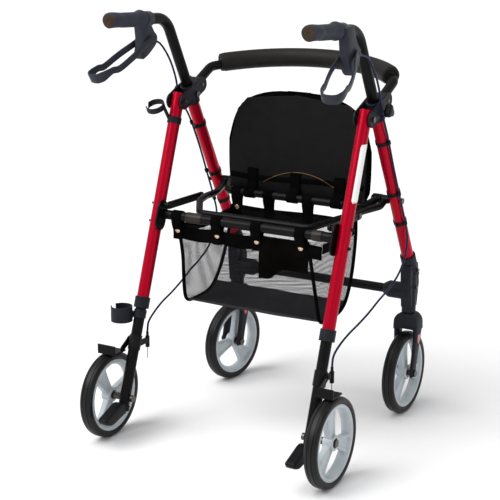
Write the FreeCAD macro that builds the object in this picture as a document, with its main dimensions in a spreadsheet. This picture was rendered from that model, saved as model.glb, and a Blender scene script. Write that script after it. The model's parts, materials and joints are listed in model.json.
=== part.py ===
import FreeCAD, Part
import os
import re
import Sketcher
from math import cos, degrees, pi, radians, sin, sqrt, tan

# A four-wheeled rollator walker. Right-hand pieces are built and the left-hand ones are mirrored.
# Row frame: +X to the user's right, +Y forwards, +Z up, origin on the floor under the footprint's centre.
# Side-view distances are measured forwards from the rear axle, and at() moves them to the row frame.

V = FreeCAD.Vector
X_AXIS = V(1, 0, 0)
Z_AXIS = V(0, 0, 1)

DIMENSIONS = {
    "axle_to_centre": 242.5,
    "leg_plane": 238.5,
    "leg_radius": 14.3,
    "leg_wall": 1.5,
    "slide_radius": 12.5,
    "slide_wall": 1.5,
    "wheel_radius": 100.0,
    "tyre_half_width": 15.0,
    "rim_radius": 84.0,
    "rim_opening": 71.0,
    "hub_radius": 17.0,
    "hub_half_width": 12.0,
    "axle_radius": 4.95,
    "bearing_bore": 5.0,
    "bearing_radius": 11.0,
    "rear_wheel_plane": 285.0,
    "wheelbase": 485.0,
    "stem_forward": 503.0,
    "stem_radius": 8.0,
    "left_caster_yaw": 8.0,
    "pivot_forward": 229.0,
    "pivot_height": 753.5,
    "front_leg_slope": 0.545,
    "rear_leg_slope": 0.358,
    "front_leg_foot": 352.0,
    "front_leg_top": 772.0,
    "collar_top": 322.0,
    "collar_length": 26.0,
    "collar_radius": 17.5,
    "extension_foot": 78.0,
    "extension_top": 380.0,
    "cross_tube_radius": 11.0,
    "front_cross_forward": 500.0,
    "front_cross_height": 298.0,
    "rear_cross_forward": 141.0,
    "rear_cross_height": 505.5,
    "fold_pivot_forward": 405.0,
    "fold_pivot_height": 540.0,
    "fold_bar_radius": 8.0,
    "link_pivot_forward": 139.0,
    "link_pivot_height": 528.0,
    "link_rivet_forward": 279.0,
    "link_rivet_height": 525.0,
    "link_radius": 8.5,
    "link_thickness": 4.0,
    "seat_bar_radius": 9.5,
    "seat_bar_forward": 352.0,
    "seat_bar_height": 528.0,
    "seat_width": 368.0,
    "seat_board_thickness": 9.0,
    "seat_cover_thickness": 15.0,
    "seat_top": 771.0,
    "seat_foot": 517.0,
    "strap_width": 24.0,
    "strap_thickness": 2.0,
    "backrest_tube_radius": 11.0,
    "backrest_pad_radius": 22.0,
    "backrest_end_forward": 393.0,
    "backrest_end_height": 826.0,
    "backrest_half_chord": 224.0,
    "backrest_bulge": 100.0,
    "backrest_rise": 14.0,
    "plate_radius": 18.0,
    "plate_thickness": 3.5,
    "plate_gap": 16.5,
    "bolt_radius": 4.0,
    "running_clearance": 0.05,
    "bend_height": 948.0,
    "grip_end_forward": -37.0,
    "grip_end_height": 960.0,
    "grip_radius": 16.5,
    "grip_length": 128.0,
    "lever_offset": 13.0,
    "lever_pivot_forward": 119.0,
    "lever_pivot_height": 905.0,
    "lever_height": 14.0,
    "knob_height": 765.0,
    "knob_radius": 15.0,
    "brake_pivot_height": 228.0,
    "cable_radius": 2.2,
    "basket_half_width": 172.0,
    "basket_floor": 300.0,
    "basket_top": 470.0,
    "basket_rear": 143.4,
    "basket_front": 352.0,
    "basket_wall": 2.0,
    "cane_cup_radius": 25.0,
    "cane_cup_height": 35.0,
}

doc = FreeCAD.newDocument("rollator")
sheet = doc.addObject("Spreadsheet::Sheet", "Dims")
for row, (alias, number) in enumerate(DIMENSIONS.items(), start=1):
    sheet.set(f"A{row}", alias)
    sheet.set(f"B{row}", str(number))
    sheet.setAlias(f"B{row}", alias)
doc.recompute()

WORD = re.compile(r"[a-z]\w*")
subparts = []


def size(alias):
    return float(sheet.get(alias))


def expression(text):
    """An expression on the sheet's aliases, as FreeCAD reads it from another object."""
    return WORD.sub(lambda word: f"Dims.{word[0]}" if word[0] in DIMENSIONS else word[0], text)


def bind(thing, **properties):
    for name, text in properties.items():
        thing.setExpression(name, expression(text))
    return thing


def at(x, forward, up):
    """A point in the row frame, from its distance forwards of the rear axle."""
    return V(x, forward - size("axle_to_centre"), up)


def subpart(thing, label):
    thing.Label = label
    subparts.append(thing)
    return thing


# ---------------------------------------------------------------- primitives


def rod(name, start, end, radius):
    """A round bar from start to end; its radius is an expression."""
    bar = doc.addObject("Part::Cylinder", name)
    bar.Height = (end - start).Length
    bar.Placement = FreeCAD.Placement(start, FreeCAD.Rotation(Z_AXIS, end - start))
    return bind(bar, Radius=radius)


def cone(name, start, end, first_radius, last_radius):
    body = doc.addObject("Part::Cone", name)
    body.Height = (end - start).Length
    body.Placement = FreeCAD.Placement(start, FreeCAD.Rotation(Z_AXIS, end - start))
    return bind(body, Radius1=first_radius, Radius2=last_radius)


def block(name, corner, length, width, height, turn=0.0):
    """A box of expression sizes at a corner, turned about X by turn degrees."""
    body = doc.addObject("Part::Box", name)
    body.Placement = FreeCAD.Placement(corner, FreeCAD.Rotation(X_AXIS, turn))
    return bind(body, Length=length, Width=width, Height=height)


def fuse(name, members):
    joined = doc.addObject("Part::MultiFuse", name)
    joined.Shapes = members
    joined.Refine = False
    return joined


def cut(name, base, tools):
    result = doc.addObject("Part::Cut", name)
    result.Base = base
    result.Tool = tools[0] if len(tools) == 1 else fuse(f"{name}_tools", tools)
    return result


def group(name, members):
    """Separate solids that share one node."""
    joined = doc.addObject("Part::Compound", name)
    joined.Links = members
    return joined


def mirror(name, source):
    """The left-hand twin of a right-hand piece."""
    twin = doc.addObject("Part::Mirroring", name)
    twin.Source = source
    twin.Normal = X_AXIS
    twin.Base = V(0, 0, 0)
    return twin


def pair(label, source):
    """Both sides' pieces in one node."""
    return subpart(group(f"{label}_pair", [source, mirror(f"{label}_twin", source)]), label)


def both(label, source):
    """One node for each side."""
    subpart(source, f"{label}_right")
    subpart(mirror(f"{label}_mirrored", source), f"{label}_left")


def across(name, forward, up, near, far, radius):
    """A rod along X at one side-view point."""
    return rod(name, at(near, forward, up), at(far, forward, up), radius)


def oblong(name, first, last, near, radius, thickness):
    """A plate across X with round ends at two side-view points, its near face at x = near."""
    run = V(0, last[0] - first[0], last[1] - first[1])
    turn = degrees(run.getAngle(V(0, 1, 0))) * (1 if run.z >= 0 else -1)
    reach = near + float(sheet.evalExpression(thickness))
    ends = [
        across(f"{name}_end{number}", point[0], point[1], near, reach, radius)
        for number, point in enumerate((first, last))
    ]
    half = float(sheet.evalExpression(radius))
    side = V(0, sin(radians(turn)), -cos(radians(turn))) * half
    corner = at(near, *first) + side
    middle = block(f"{name}_web", corner, thickness, f"{run.Length}", f"2 * ({radius})", turn)
    return fuse(name, ends + [middle])


# ---------------------------------------------------------------- routes of bent tubes and cables


def rounded_wire(points, radii):
    """Straight runs joined by tangent arcs, one radius for each inner point."""
    edges = []
    start = points[0]
    for before, corner, after, radius in zip(points, points[1:], points[2:], radii):
        inward = (before - corner).normalize()
        outward = (after - corner).normalize()
        half_turn = (radians(180) - inward.getAngle(outward)) / 2
        setback = radius * tan(half_turn)
        first = corner + inward * setback
        last = corner + outward * setback
        bisector = (inward + outward).normalize()
        middle = corner + bisector * (radius / cos(half_turn) - radius)
        edges.append(Part.LineSegment(start, first).toShape())
        edges.append(Part.Arc(first, middle, last).toShape())
        start = last
    edges.append(Part.LineSegment(start, points[-1]).toShape())
    return Part.Wire(edges)


def cable_radii(points):
    """The largest arcs that the runs leave room for."""
    radii = []
    for before, corner, after in zip(points, points[1:], points[2:]):
        turn = radians(180) - (before - corner).getAngle(after - corner)
        shorter = min((before - corner).Length, (after - corner).Length)
        radii.append(0.45 * shorter / tan(turn / 2))
    return radii


def sweep(name, wire, radius):
    """A solid round bar along a wire."""
    spine = doc.addObject("Part::Feature", f"{name}_route")
    spine.Shape = wire
    first = wire.OrderedEdges[0]
    start = first.valueAt(first.FirstParameter)
    heading = first.tangentAt(first.FirstParameter)
    ring = doc.addObject("Part::Circle", f"{name}_section")
    ring.Placement = FreeCAD.Placement(start, FreeCAD.Rotation(Z_AXIS, heading))
    bind(ring, Radius=radius)
    body = doc.addObject("Part::Sweep", name)
    body.Sections = [ring]
    body.Spine = (spine, [f"Edge{number}" for number in range(1, len(wire.Edges) + 1)])
    body.Solid = True
    return body


def bent_tube(name, points, radii, radius, wall):
    wire = rounded_wire(points, radii)
    outer = sweep(f"{name}_outer", wire, radius)
    inner = sweep(f"{name}_inner", wire, f"{radius} - {wall}")
    return cut(name, outer, [inner])


def straight_tube(name, start, end, radius, wall):
    outer = rod(f"{name}_outer", start, end, radius)
    inner = rod(f"{name}_inner", start, end, f"{radius} - {wall}")
    return cut(name, outer, [inner])


# ---------------------------------------------------------------- sketched bodies


def origin_plane(body, role):
    return next(plane for plane in body.Origin.OriginFeatures if plane.Role == role)


def outline(body, role, corners, name):
    """A closed polygon sketch. Each corner is a pair of expressions, and each is dimensioned."""
    sketch = body.newObject("Sketcher::SketchObject", name)
    sketch.AttachmentSupport = [(origin_plane(body, role), "")]
    sketch.MapMode = "FlatFace"
    places = [
        V(float(sheet.evalExpression(across_text)), float(sheet.evalExpression(up_text)), 0)
        for across_text, up_text in corners
    ]
    count = len(places)
    for number, place in enumerate(places):
        sketch.addGeometry(Part.LineSegment(place, places[(number + 1) % count]), False)
    for number in range(count):
        sketch.addConstraint(Sketcher.Constraint("Coincident", number, 2, (number + 1) % count, 1))
    for number, (place, (across_text, up_text)) in enumerate(zip(places, corners)):
        for kind, value, text in (("DistanceX", place.x, across_text), ("DistanceY", place.y, up_text)):
            index = sketch.addConstraint(Sketcher.Constraint(kind, -1, 1, number, 1, value))
            sketch.setExpression(f"Constraints[{index}]", expression(text))
    return sketch


def revolved(name, corners, start, heading):
    """A body turned about its own Z axis. Corners are (radius, distance along the axis)."""
    body = doc.addObject("PartDesign::Body", name)
    sketch = outline(body, "XZ_Plane", corners, f"{name}_profile")
    turned = body.newObject("PartDesign::Revolution", f"{name}_turned")
    turned.Profile = sketch
    turned.ReferenceAxis = (sketch, ["V_Axis"])
    turned.Angle = 360
    body.Tip = turned
    body.Placement = FreeCAD.Placement(start, FreeCAD.Rotation(Z_AXIS, heading))
    return body


def side_plate(name, corners, near, thickness):
    """A body padded along +X from a side-view outline of (forward, up) expressions, from x = near."""
    body = doc.addObject("PartDesign::Body", name)
    sketch = outline(body, "YZ_Plane", corners, f"{name}_profile")
    pad = body.newObject("PartDesign::Pad", f"{name}_pad")
    pad.Profile = sketch
    bind(pad, Length=thickness)
    body.Tip = pad
    body.Placement = FreeCAD.Placement(at(near, 0, 0), FreeCAD.Rotation())
    return body


def front_plate(name, corners, rear, thickness):
    """A body padded along Y from a front-view outline of (x, up) expressions, from forward = rear."""
    body = doc.addObject("PartDesign::Body", name)
    sketch = outline(body, "XZ_Plane", corners, f"{name}_profile")
    pad = body.newObject("PartDesign::Pad", f"{name}_pad")
    pad.Profile = sketch
    pad.Reversed = True
    bind(pad, Length=thickness)
    body.Tip = pad
    body.Placement = FreeCAD.Placement(at(0, rear, 0), FreeCAD.Rotation())
    return body


# ---------------------------------------------------------------- layout

LEG = size("leg_plane")
LEVER = LEG + size("lever_offset")
PIVOT = (size("pivot_forward"), size("pivot_height"))
FOLD_PIVOT = (size("fold_pivot_forward"), size("fold_pivot_height"))
LINK_PIVOT = (size("link_pivot_forward"), size("link_pivot_height"))
LINK_RIVET = (size("link_rivet_forward"), size("link_rivet_height"))
FRONT_LEG_DATUM = (329.3, 678.6)


def on_front_leg(up, x=None):
    """The front leg's axis, which the handle tube shares, at a height."""
    forward = FRONT_LEG_DATUM[0] - size("front_leg_slope") * (up - FRONT_LEG_DATUM[1])
    return at(LEG if x is None else x, forward, up)


def front_leg_side(up):
    return (on_front_leg(up).y + size("axle_to_centre"), up)


def on_rear_leg(up, x=None):
    forward = PIVOT[0] - size("rear_leg_slope") * (PIVOT[1] - up)
    return at(LEG if x is None else x, forward, up)


def rear_leg_side(up):
    return (on_rear_leg(up).y + size("axle_to_centre"), up)


FRONT_UP = (on_front_leg(900) - on_front_leg(800)).normalize()
REAR_UP = (on_rear_leg(500) - on_rear_leg(400)).normalize()
STEM = (size("stem_forward"), 0)
RUN = "running_clearance"

# ---------------------------------------------------------------- front frame


def front_legs():
    leg = straight_tube("front_leg", on_front_leg(size("front_leg_foot")),
                        on_front_leg(size("front_leg_top")), "leg_radius", "leg_wall")
    hole = across("front_leg_hole", *FOLD_PIVOT, LEG - 20, LEG + 20, "bolt_radius")
    knob_line = front_leg_side(size("knob_height"))
    knob_hole = across("front_leg_knob_hole", *knob_line, LEG, LEG + 20, "bolt_radius")
    drilled = cut("front_leg_drilled", leg, [hole, knob_hole])
    pair("front_legs", drilled)


BACKREST_SOCKET = (306.0, 785.0)
BACKREST_TUBE_START = (306.0, 783.0)
BACKREST_CORNER = (377.0, 818.0)


def top_brackets():
    """A casting: a sleeve on the front leg between two oblong plates that carry the rear leg's pivot."""
    inner_face = LEG - size("plate_gap") - size("plate_thickness")
    outer_face = LEG + size("plate_gap")
    inner = oblong("inner_plate", PIVOT, BACKREST_SOCKET, inner_face, "plate_radius", "plate_thickness")
    outer = oblong("outer_plate", PIVOT, BACKREST_SOCKET, outer_face, "plate_radius", "plate_thickness")
    sleeve = rod("bracket_sleeve", on_front_leg(745), on_front_leg(788), "leg_radius + 4")
    socket = across("backrest_socket", *BACKREST_SOCKET, inner_face + 2, outer_face, "plate_radius - 2")
    solid = fuse("top_bracket_solid", [inner, outer, sleeve, socket])
    leg_bore = rod("bracket_leg_bore", on_front_leg(735), on_front_leg(773), "leg_radius + 0.05")
    slide_bore = rod("bracket_slide_bore", on_front_leg(770), on_front_leg(800), "slide_radius + 0.25")
    tube_bore = rod("bracket_tube_bore", at(LEG, *BACKREST_TUBE_START), at(LEG, *BACKREST_CORNER),
                    "backrest_tube_radius + 0.05")
    pivot_bore = across("bracket_pivot_bore", *PIVOT, inner_face - 5, outer_face + 10, "bolt_radius")
    knob_bore = across("bracket_knob_bore", *front_leg_side(size("knob_height")), LEG + 5, outer_face + 10,
                       "bolt_radius - 0.7")
    bracket = cut("top_bracket", solid, [leg_bore, slide_bore, tube_bore, pivot_bore, knob_bore])
    pair("top_brackets", bracket)


def backrest_wire():
    """Out of both brackets, round a bend, and along one wide arc behind the user's back."""
    half = size("backrest_half_chord")
    bulge = size("backrest_bulge")
    arc_radius = (half * half + bulge * bulge) / (2 * bulge)
    slope = half / sqrt(arc_radius * arc_radius - half * half)
    apex_forward = size("backrest_end_forward") + half * slope
    apex_up = size("backrest_end_height") + half * slope * size("backrest_rise") / bulge
    corners = [
        at(-LEG, *BACKREST_TUBE_START),
        at(-LEG, *BACKREST_CORNER),
        at(0, apex_forward, apex_up),
        at(LEG, *BACKREST_CORNER),
        at(LEG, *BACKREST_TUBE_START),
    ]
    return rounded_wire(corners, [28.0, arc_radius - 2.0, 28.0])


def backrest():
    wire = backrest_wire()
    outer = sweep("backrest_tube_outer", wire, "backrest_tube_radius")
    inner = sweep("backrest_tube_inner", wire, "backrest_tube_radius - 1.5")
    tube = cut("backrest_bar", outer, [inner])
    arc = max(wire.Edges, key=lambda edge: edge.Length)
    foam = sweep("backrest_foam", Part.Wire([arc]), "backrest_pad_radius")
    core = sweep("backrest_foam_core", Part.Wire([arc]), "backrest_tube_radius + 0.02")
    subpart(tube, "backrest_tube")
    subpart(cut("backrest_sleeve", foam, [core]), "backrest_pad")


def front_corners():
    """Moulded corners that join leg, cross tube and caster stem."""
    forward = size("stem_forward")
    cross = (size("front_cross_forward"), size("front_cross_height"))
    leg_sleeve = rod("corner_leg_sleeve", on_front_leg(338), on_front_leg(392), "leg_radius + 4")
    stem_tube = rod("corner_stem_tube", at(LEG, forward, 249), at(LEG, forward, 345), "17")
    gusset = side_plate("corner_gusset", [
        (f"{forward - 17}", "262"), (f"{forward + 17}", "262"), (f"{forward + 27}", "318"),
        (f"{forward + 17}", "368"), (f"{forward - 26}", "366"), (f"{forward - 24}", "318"),
    ], LEG - 13, "26")
    boss = across("corner_boss", *cross, LEG - 50, LEG, "20.5")
    nose = cone("corner_nose", at(LEG - 50, *cross), at(LEG - 62, *cross), "20.5", "14")
    solid = fuse("corner_solid", [leg_sleeve, stem_tube, gusset, boss, nose])
    leg_bore = rod("corner_leg_bore", on_front_leg(size("front_leg_foot")), on_front_leg(400),
                   "leg_radius + 0.05")
    stem_bore = rod("corner_stem_bore", at(LEG, forward, 240), at(LEG, forward, 334), "14")
    cross_bore = across("corner_cross_bore", *cross, LEG - 70, LEG - 19, "cross_tube_radius + 0.05")
    corner = cut("front_corner", solid, [leg_bore, stem_bore, cross_bore])
    pair("front_corners", corner)
    end = LEG - 20
    tube = straight_tube("front_cross", at(-end, *cross), at(end, *cross), "cross_tube_radius", "leg_wall")
    subpart(tube, "front_cross_tube")


def stem_bearings():
    rings = []
    for number, low in enumerate((250.0, 322.0)):
        bottom = at(LEG, size("stem_forward"), low)
        top = at(LEG, size("stem_forward"), low + 10)
        outer = rod(f"stem_bearing_outer{number}", bottom, top, "13.98")
        inner = rod(f"stem_bearing_bore{number}", bottom, top, f"stem_radius + {RUN}")
        rings.append(cut(f"stem_bearing{number}", outer, [inner]))
    both_sides = rings + [mirror(f"stem_bearing_twin{n}", ring) for n, ring in enumerate(rings)]
    subpart(group("stem_bearing_rings", both_sides), "stem_bearings")


SEAT_BAR_END = 195.5
SEAT_BAR_EYE = 183.5


def seat_bar():
    """A shallow U between the front legs. Its eyes are held by the fold bar's pivot bolts."""
    forward = size("seat_bar_forward")
    up = size("seat_bar_height")
    right = [
        at(176, forward, up),
        at(187, forward + 22, up + 4),
        at(SEAT_BAR_END, *FOLD_PIVOT),
    ]
    left = [V(-p.x, p.y, p.z) for p in reversed(right)]
    bar = sweep("seat_bar_rod", rounded_wire(left + right, [24, 20, 20, 24]), "seat_bar_radius")
    eyes = [
        across("seat_bar_eye_right", *FOLD_PIVOT, SEAT_BAR_EYE, SEAT_BAR_END + 8.5, "11"),
        across("seat_bar_eye_left", *FOLD_PIVOT, -SEAT_BAR_END - 8.5, -SEAT_BAR_EYE, "11"),
    ]
    hole = across("seat_bar_hole", *FOLD_PIVOT, -220, 220, "bolt_radius")
    subpart(cut("seat_bar_drilled", fuse("seat_bar_solid", [bar] + eyes), [hole]), "seat_bar")


def frame_bolts():
    """Pivot bolts, corner bolts and the fold bar's pivot bolts, with their heads and nuts."""
    inner_plate = LEG - size("plate_gap") - size("plate_thickness")
    outer_plate = LEG + size("plate_gap") + size("plate_thickness")
    bolts = []

    def bolt(name, point, near, far, head):
        shank = across(f"{name}_shank", *point, near - 3, far + 3, "bolt_radius")
        first = across(f"{name}_head", *point, near - 4, near - 0.05, head)
        last = across(f"{name}_nut", *point, far + 0.05, far + 4, head)
        bolts.append(fuse(name, [shank, first, last]))

    bolt("pivot_bolt", PIVOT, inner_plate, outer_plate, "6")
    bolt("fold_bolt", FOLD_PIVOT, SEAT_BAR_EYE, LEG + size("leg_radius") + 1, "7")
    knob_line = front_leg_side(size("knob_height"))
    bolts.append(across("knob_rivet", *knob_line, inner_plate - 4, inner_plate - 0.05, "7"))
    for number, (point, near) in enumerate((((505.0, 352.0), 18.5), ((503.0, 310.0), 17.1))):
        bolts.append(across(f"corner_bolt{number}", *point, LEG + near, LEG + near + 3.4, "4.5"))
    twins = [mirror(f"bolt_twin{number}", item) for number, item in enumerate(bolts)]
    subpart(group("frame_bolt_set", bolts + twins), "frame_bolts")


# ---------------------------------------------------------------- rear frame


def rear_legs():
    top = on_rear_leg(PIVOT[1]) + REAR_UP * 19
    leg_foot = on_rear_leg(size("collar_top") - 10)
    leg = straight_tube("rear_leg", leg_foot, top, "leg_radius", "leg_wall")
    hole = across("rear_leg_hole", *PIVOT, LEG - 20, LEG + 20, f"bolt_radius + {RUN}")
    pair("rear_legs", cut("rear_leg_drilled", leg, [hole]))

    foot = on_rear_leg(size("extension_foot"))
    extension = straight_tube("extension", foot, on_rear_leg(size("extension_top")), "slide_radius",
                              "slide_wall")
    axle_hole = across("extension_axle_hole", 0, size("wheel_radius"), LEG - 20, LEG + 20,
                       "axle_radius + 0.05")
    pair("leg_extensions", cut("extension_drilled", extension, [axle_hole]))

    collar_top = on_rear_leg(size("collar_top"))
    collar_foot = collar_top - REAR_UP * size("collar_length")
    body = rod("collar_body", collar_foot, collar_top, "collar_radius")
    leg_seat = rod("collar_leg_seat", on_rear_leg(size("collar_top") - 10), collar_top + REAR_UP * 2,
                   "leg_radius + 0.05")
    tube_seat = rod("collar_tube_seat", collar_foot - REAR_UP, collar_top, "slide_radius + 0.05")
    pair("leg_collars", cut("leg_collar", body, [leg_seat, tube_seat]))


RIGHT_PLATE = 220.0


def rear_cross():
    """The tube between the rear legs, on oblong plates bolted to the legs' inner faces."""
    cross = (size("rear_cross_forward"), size("rear_cross_height"))
    tube = straight_tube("rear_cross", at(-RIGHT_PLATE, *cross), at(RIGHT_PLATE, *cross),
                         "cross_tube_radius", "leg_wall")
    subpart(tube, "rear_cross_tube")
    plate = oblong("rear_plate", (124.5, 490.0), (135.5, 520.0), RIGHT_PLATE, "19", "4")
    spacer = across("link_spacer", *LINK_PIVOT, 209.3, RIGHT_PLATE, "6")
    pin = across("link_pin", *LINK_PIVOT, 202.0, RIGHT_PLATE, f"bolt_radius - {RUN}")
    pin_head = across("link_pin_head", *LINK_PIVOT, 201.5, 204.7, "6.5")
    pair("rear_brackets", fuse("rear_bracket", [plate, spacer, pin, pin_head]))


def rear_axles():
    """Fixed bolts: head inside the leg, a spacer outside it, and a nut on the hub."""
    height = size("wheel_radius")
    hub_outer = size("rear_wheel_plane") + size("hub_half_width")
    shaft = across("rear_axle_shaft", 0, height, LEG - 17, hub_outer + 3, "axle_radius")
    head = across("rear_axle_head", 0, height, LEG - 20, LEG - 13.5, "8")
    spacer = across("rear_axle_spacer", 0, height, LEG + 13.2, size("rear_wheel_plane") - 12.3, "8")
    nut = across("rear_axle_nut", 0, height, hub_outer + 0.3, hub_outer + 4, "8")
    pair("rear_axles", fuse("rear_axle", [shaft, head, spacer, nut]))


def curb_levers():
    """Foot pedals on the rear legs' lower ends, for lifting the front wheels over a kerb."""
    foot = on_rear_leg(size("extension_foot"))
    sleeve = rod("pedal_sleeve", foot - REAR_UP * 5, foot + REAR_UP * 8, "slide_radius + 2")
    pedal = side_plate("pedal", [
        ("-16", "72"), ("-18", "91"), ("-34", "96"), ("-97", "75"), ("-90", "64"), ("-68", "57"),
    ], LEG - 12, "24")
    bore = rod("pedal_bore", foot, foot + REAR_UP * 30, "slide_radius + 0.05")
    pair("curb_levers", cut("curb_lever", fuse("curb_lever_solid", [sleeve, pedal]), [bore]))


CABLE_STOP = 92.0


def brake_mounts():
    """An arm on each rear leg that ends the cable's housing, and the bare wire below it."""
    height = 214.0
    leg_forward = rear_leg_side(height)[0]
    band = rod("stop_band", on_rear_leg(height - 8), on_rear_leg(height + 24), "slide_radius + 2")
    pivot = rear_leg_side(size("brake_pivot_height"))
    stud = across("stop_stud", *pivot, LEG + 13, LEG + 21, "bolt_radius - 0.05")
    arm = block("stop_arm", at(LEG - 3, leg_forward + 12, height - 6), "6",
                f"{CABLE_STOP - leg_forward - 14}", "12")

    def upright(name, low, high, radius):
        return rod(name, at(LEG + 1.5, CABLE_STOP, low), at(LEG + 1.5, CABLE_STOP, high), radius)

    barrel = upright("stop_barrel", 196, 222, "5")
    bore = rod("stop_band_bore", on_rear_leg(height - 20), on_rear_leg(height + 40), "slide_radius + 0.05")
    wire_bore = upright("stop_wire_bore", 190, 230, "1.2")
    stop = cut("cable_stop", fuse("stop_solid", [band, arm, barrel, stud]), [bore, wire_bore])
    ferrule = upright("stop_ferrule", 222.3, 232, "3.2")
    ferrule_bore = upright("ferrule_bore", 220, 234, "1.2")
    end_cap = cut("cable_ferrule", ferrule, [ferrule_bore])
    tail = upright("inner_wire", 168, 231, "0.8")
    right = [stop, end_cap, tail]
    twins = [mirror(f"stop_twin{number}", item) for number, item in enumerate(right)]
    subpart(group("cable_stop_set", right + twins), "brake_mounts")


def cane_holder():
    """On the left rear leg only: an open ring near the top and a cup near the collar."""
    cup_at = (41.0, 268.0)
    cup_x = -275.5
    height = size("cane_cup_height")
    foot = at(cup_x, *cup_at)
    cup = rod("cup_body", foot, foot + Z_AXIS * height, "cane_cup_radius")
    hollow = rod("cup_hollow", foot + Z_AXIS * 3, foot + Z_AXIS * (height + 2), "cane_cup_radius - 2.5")
    slit = block("cup_slit", at(cup_x - 40, cup_at[0] - 9, cup_at[1] + 3), "30", "18", "cane_cup_height")
    arm = block("cup_arm", at(-262, 44, 277), "12", "18", "12")
    leg_band = rod("cup_band", on_rear_leg(276, -LEG), on_rear_leg(294, -LEG), "slide_radius + 2")
    leg_bore = rod("cup_band_bore", on_rear_leg(260, -LEG), on_rear_leg(310, -LEG), "slide_radius + 0.05")
    cup_solid = cut("cane_cup", fuse("cup_solid", [cup, arm, leg_band]), [hollow, slit, leg_bore])

    base = at(-273.0, 191.0, 738.0)
    tilt = V(0, -0.5, 1).normalize()
    ring = rod("ring_body", base, base + tilt * 13, "22")
    strut = rod("ring_strut", at(-251.5, 191, 743), at(-250, 212, 711), "4")
    band = rod("ring_band", on_rear_leg(704, -LEG), on_rear_leg(718, -LEG), "leg_radius + 2")
    bore = rod("ring_bore", base - tilt * 8, base + tilt * 20, "19.4")
    mouth = rod("ring_mouth", base + V(-20, -8, -15), base + V(-20, -8, 20), "7")
    band_bore = rod("ring_band_bore", on_rear_leg(690, -LEG), on_rear_leg(735, -LEG), "leg_radius + 0.05")
    ring_solid = cut("cane_ring", fuse("ring_solid", [ring, strut, band]), [bore, mouth, band_bore])
    subpart(group("cane_holder_set", [cup_solid, ring_solid]), "cane_holder")


# ---------------------------------------------------------------- folding linkage

FOLD_ARM = 214.3


def fold_bar():
    """The U-shaped bar that is lifted to fold the frame. Its arms turn on the front legs."""
    right = [
        at(142, 166, 513),
        at(180, 229, 525),
        at(193, *LINK_RIVET),
        at(194, 326, 525),
        at(211, 381, 527),
        at(FOLD_ARM, *FOLD_PIVOT),
    ]
    left = [V(-p.x, p.y, p.z) for p in reversed(right)]
    points = left + right
    radii = [20, 60, 60, 30, 24, 24, 30, 60, 60, 20]
    outer = sweep("fold_bar_rod", rounded_wire(points, radii), "fold_bar_radius")
    eyes = [
        across("fold_eye_right", *FOLD_PIVOT, FOLD_ARM - 7.3, FOLD_ARM + 8, "10"),
        across("fold_eye_left", *FOLD_PIVOT, -FOLD_ARM - 8, -FOLD_ARM + 7.3, "10"),
    ]
    hole = across("fold_bar_hole", *FOLD_PIVOT, -240, 240, f"bolt_radius + {RUN}")
    subpart(cut("fold_bar_drilled", fuse("fold_bar_solid", [outer] + eyes), [hole]), "fold_bar")


LINK_NEAR = 205.0


def side_links():
    """Flat links from the rear legs' plates to the fold bar's arms."""
    link = oblong("link_strip", LINK_PIVOT, LINK_RIVET, LINK_NEAR, "link_radius", "link_thickness")
    pivot_hole = across("link_pivot_hole", *LINK_PIVOT, LINK_NEAR - 5, LINK_NEAR + 10, "bolt_radius")
    rivet_hole = across("link_rivet_hole", *LINK_RIVET, LINK_NEAR - 5, LINK_NEAR + 10, "bolt_radius")
    pair("side_links", cut("side_link", link, [pivot_hole, rivet_hole]))
    shank = across("rivet_shank", *LINK_RIVET, LINK_NEAR - 2, LINK_NEAR + 5.5, "bolt_radius - 0.02")
    inner = across("rivet_inner", *LINK_RIVET, LINK_NEAR - 2.4, LINK_NEAR - 0.02, "6.5")
    outer = across("rivet_outer", *LINK_RIVET, LINK_NEAR + 4.02, LINK_NEAR + 6.5, "6.5")
    pair("link_rivets", fuse("link_rivet", [shank, inner, outer]))


# ---------------------------------------------------------------- seat and basket


def seat():
    """Flipped up: the board's underside faces the rear and its pad faces forwards."""
    underside = size("seat_bar_forward") + size("seat_bar_radius") + 4.5
    half = "seat_width / 2"
    board = front_plate("seat_panel", [
        (f"-{half} + 26", "seat_foot"), (f"{half} - 26", "seat_foot"),
        (f"{half} - 6", "seat_foot + 26"), (f"{half} - 4", "seat_foot + 120"),
        (f"{half} - 26", "seat_top - 46"), (f"{half} - 52", "seat_top - 18"),
        ("0", "seat_top - 4"), (f"-{half} + 52", "seat_top - 18"), (f"-{half} + 26", "seat_top - 46"),
        (f"-{half} + 4", "seat_foot + 120"), (f"-{half} + 6", "seat_foot + 26"),
    ], underside, "seat_board_thickness")
    cover = front_plate("seat_padding", [
        (f"-{half} + 22", "seat_foot + 14"), (f"{half} - 22", "seat_foot + 14"),
        (f"{half}", "seat_foot + 36"),
        (f"{half}", "seat_foot + 120"), (f"{half} - 26", "seat_top - 42"),
        (f"{half} - 54", "seat_top - 14"), ("0", "seat_top"), (f"-{half} + 54", "seat_top - 14"),
        (f"-{half} + 26", "seat_top - 42"),
        (f"-{half}", "seat_foot + 120"), (f"-{half}", "seat_foot + 36"),
    ], underside + size("seat_board_thickness") + 0.1, "seat_cover_thickness")
    subpart(board, "seat_board")
    subpart(cover, "seat_cover")

    loops = []
    axis = (size("seat_bar_forward"), size("seat_bar_height"))
    for number, x in enumerate((-115.0, 0.0, 115.0)):
        left = x - size("strap_width") / 2
        right = x + size("strap_width") / 2
        ring = across(f"strap_ring{number}", *axis, left, right, "seat_bar_radius + 0.6 + strap_thickness")
        tail = block(f"strap_tail{number}", at(left, underside - 2.4, axis[1]), "strap_width", "2.3", "46")
        bore = across(f"strap_bore{number}", *axis, left - 1, right + 1, "seat_bar_radius + 0.6")
        loops.append(cut(f"seat_strap{number}", fuse(f"strap_solid{number}", [ring, tail]), [bore]))
    subpart(group("seat_strap_set", loops), "seat_straps")


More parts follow.
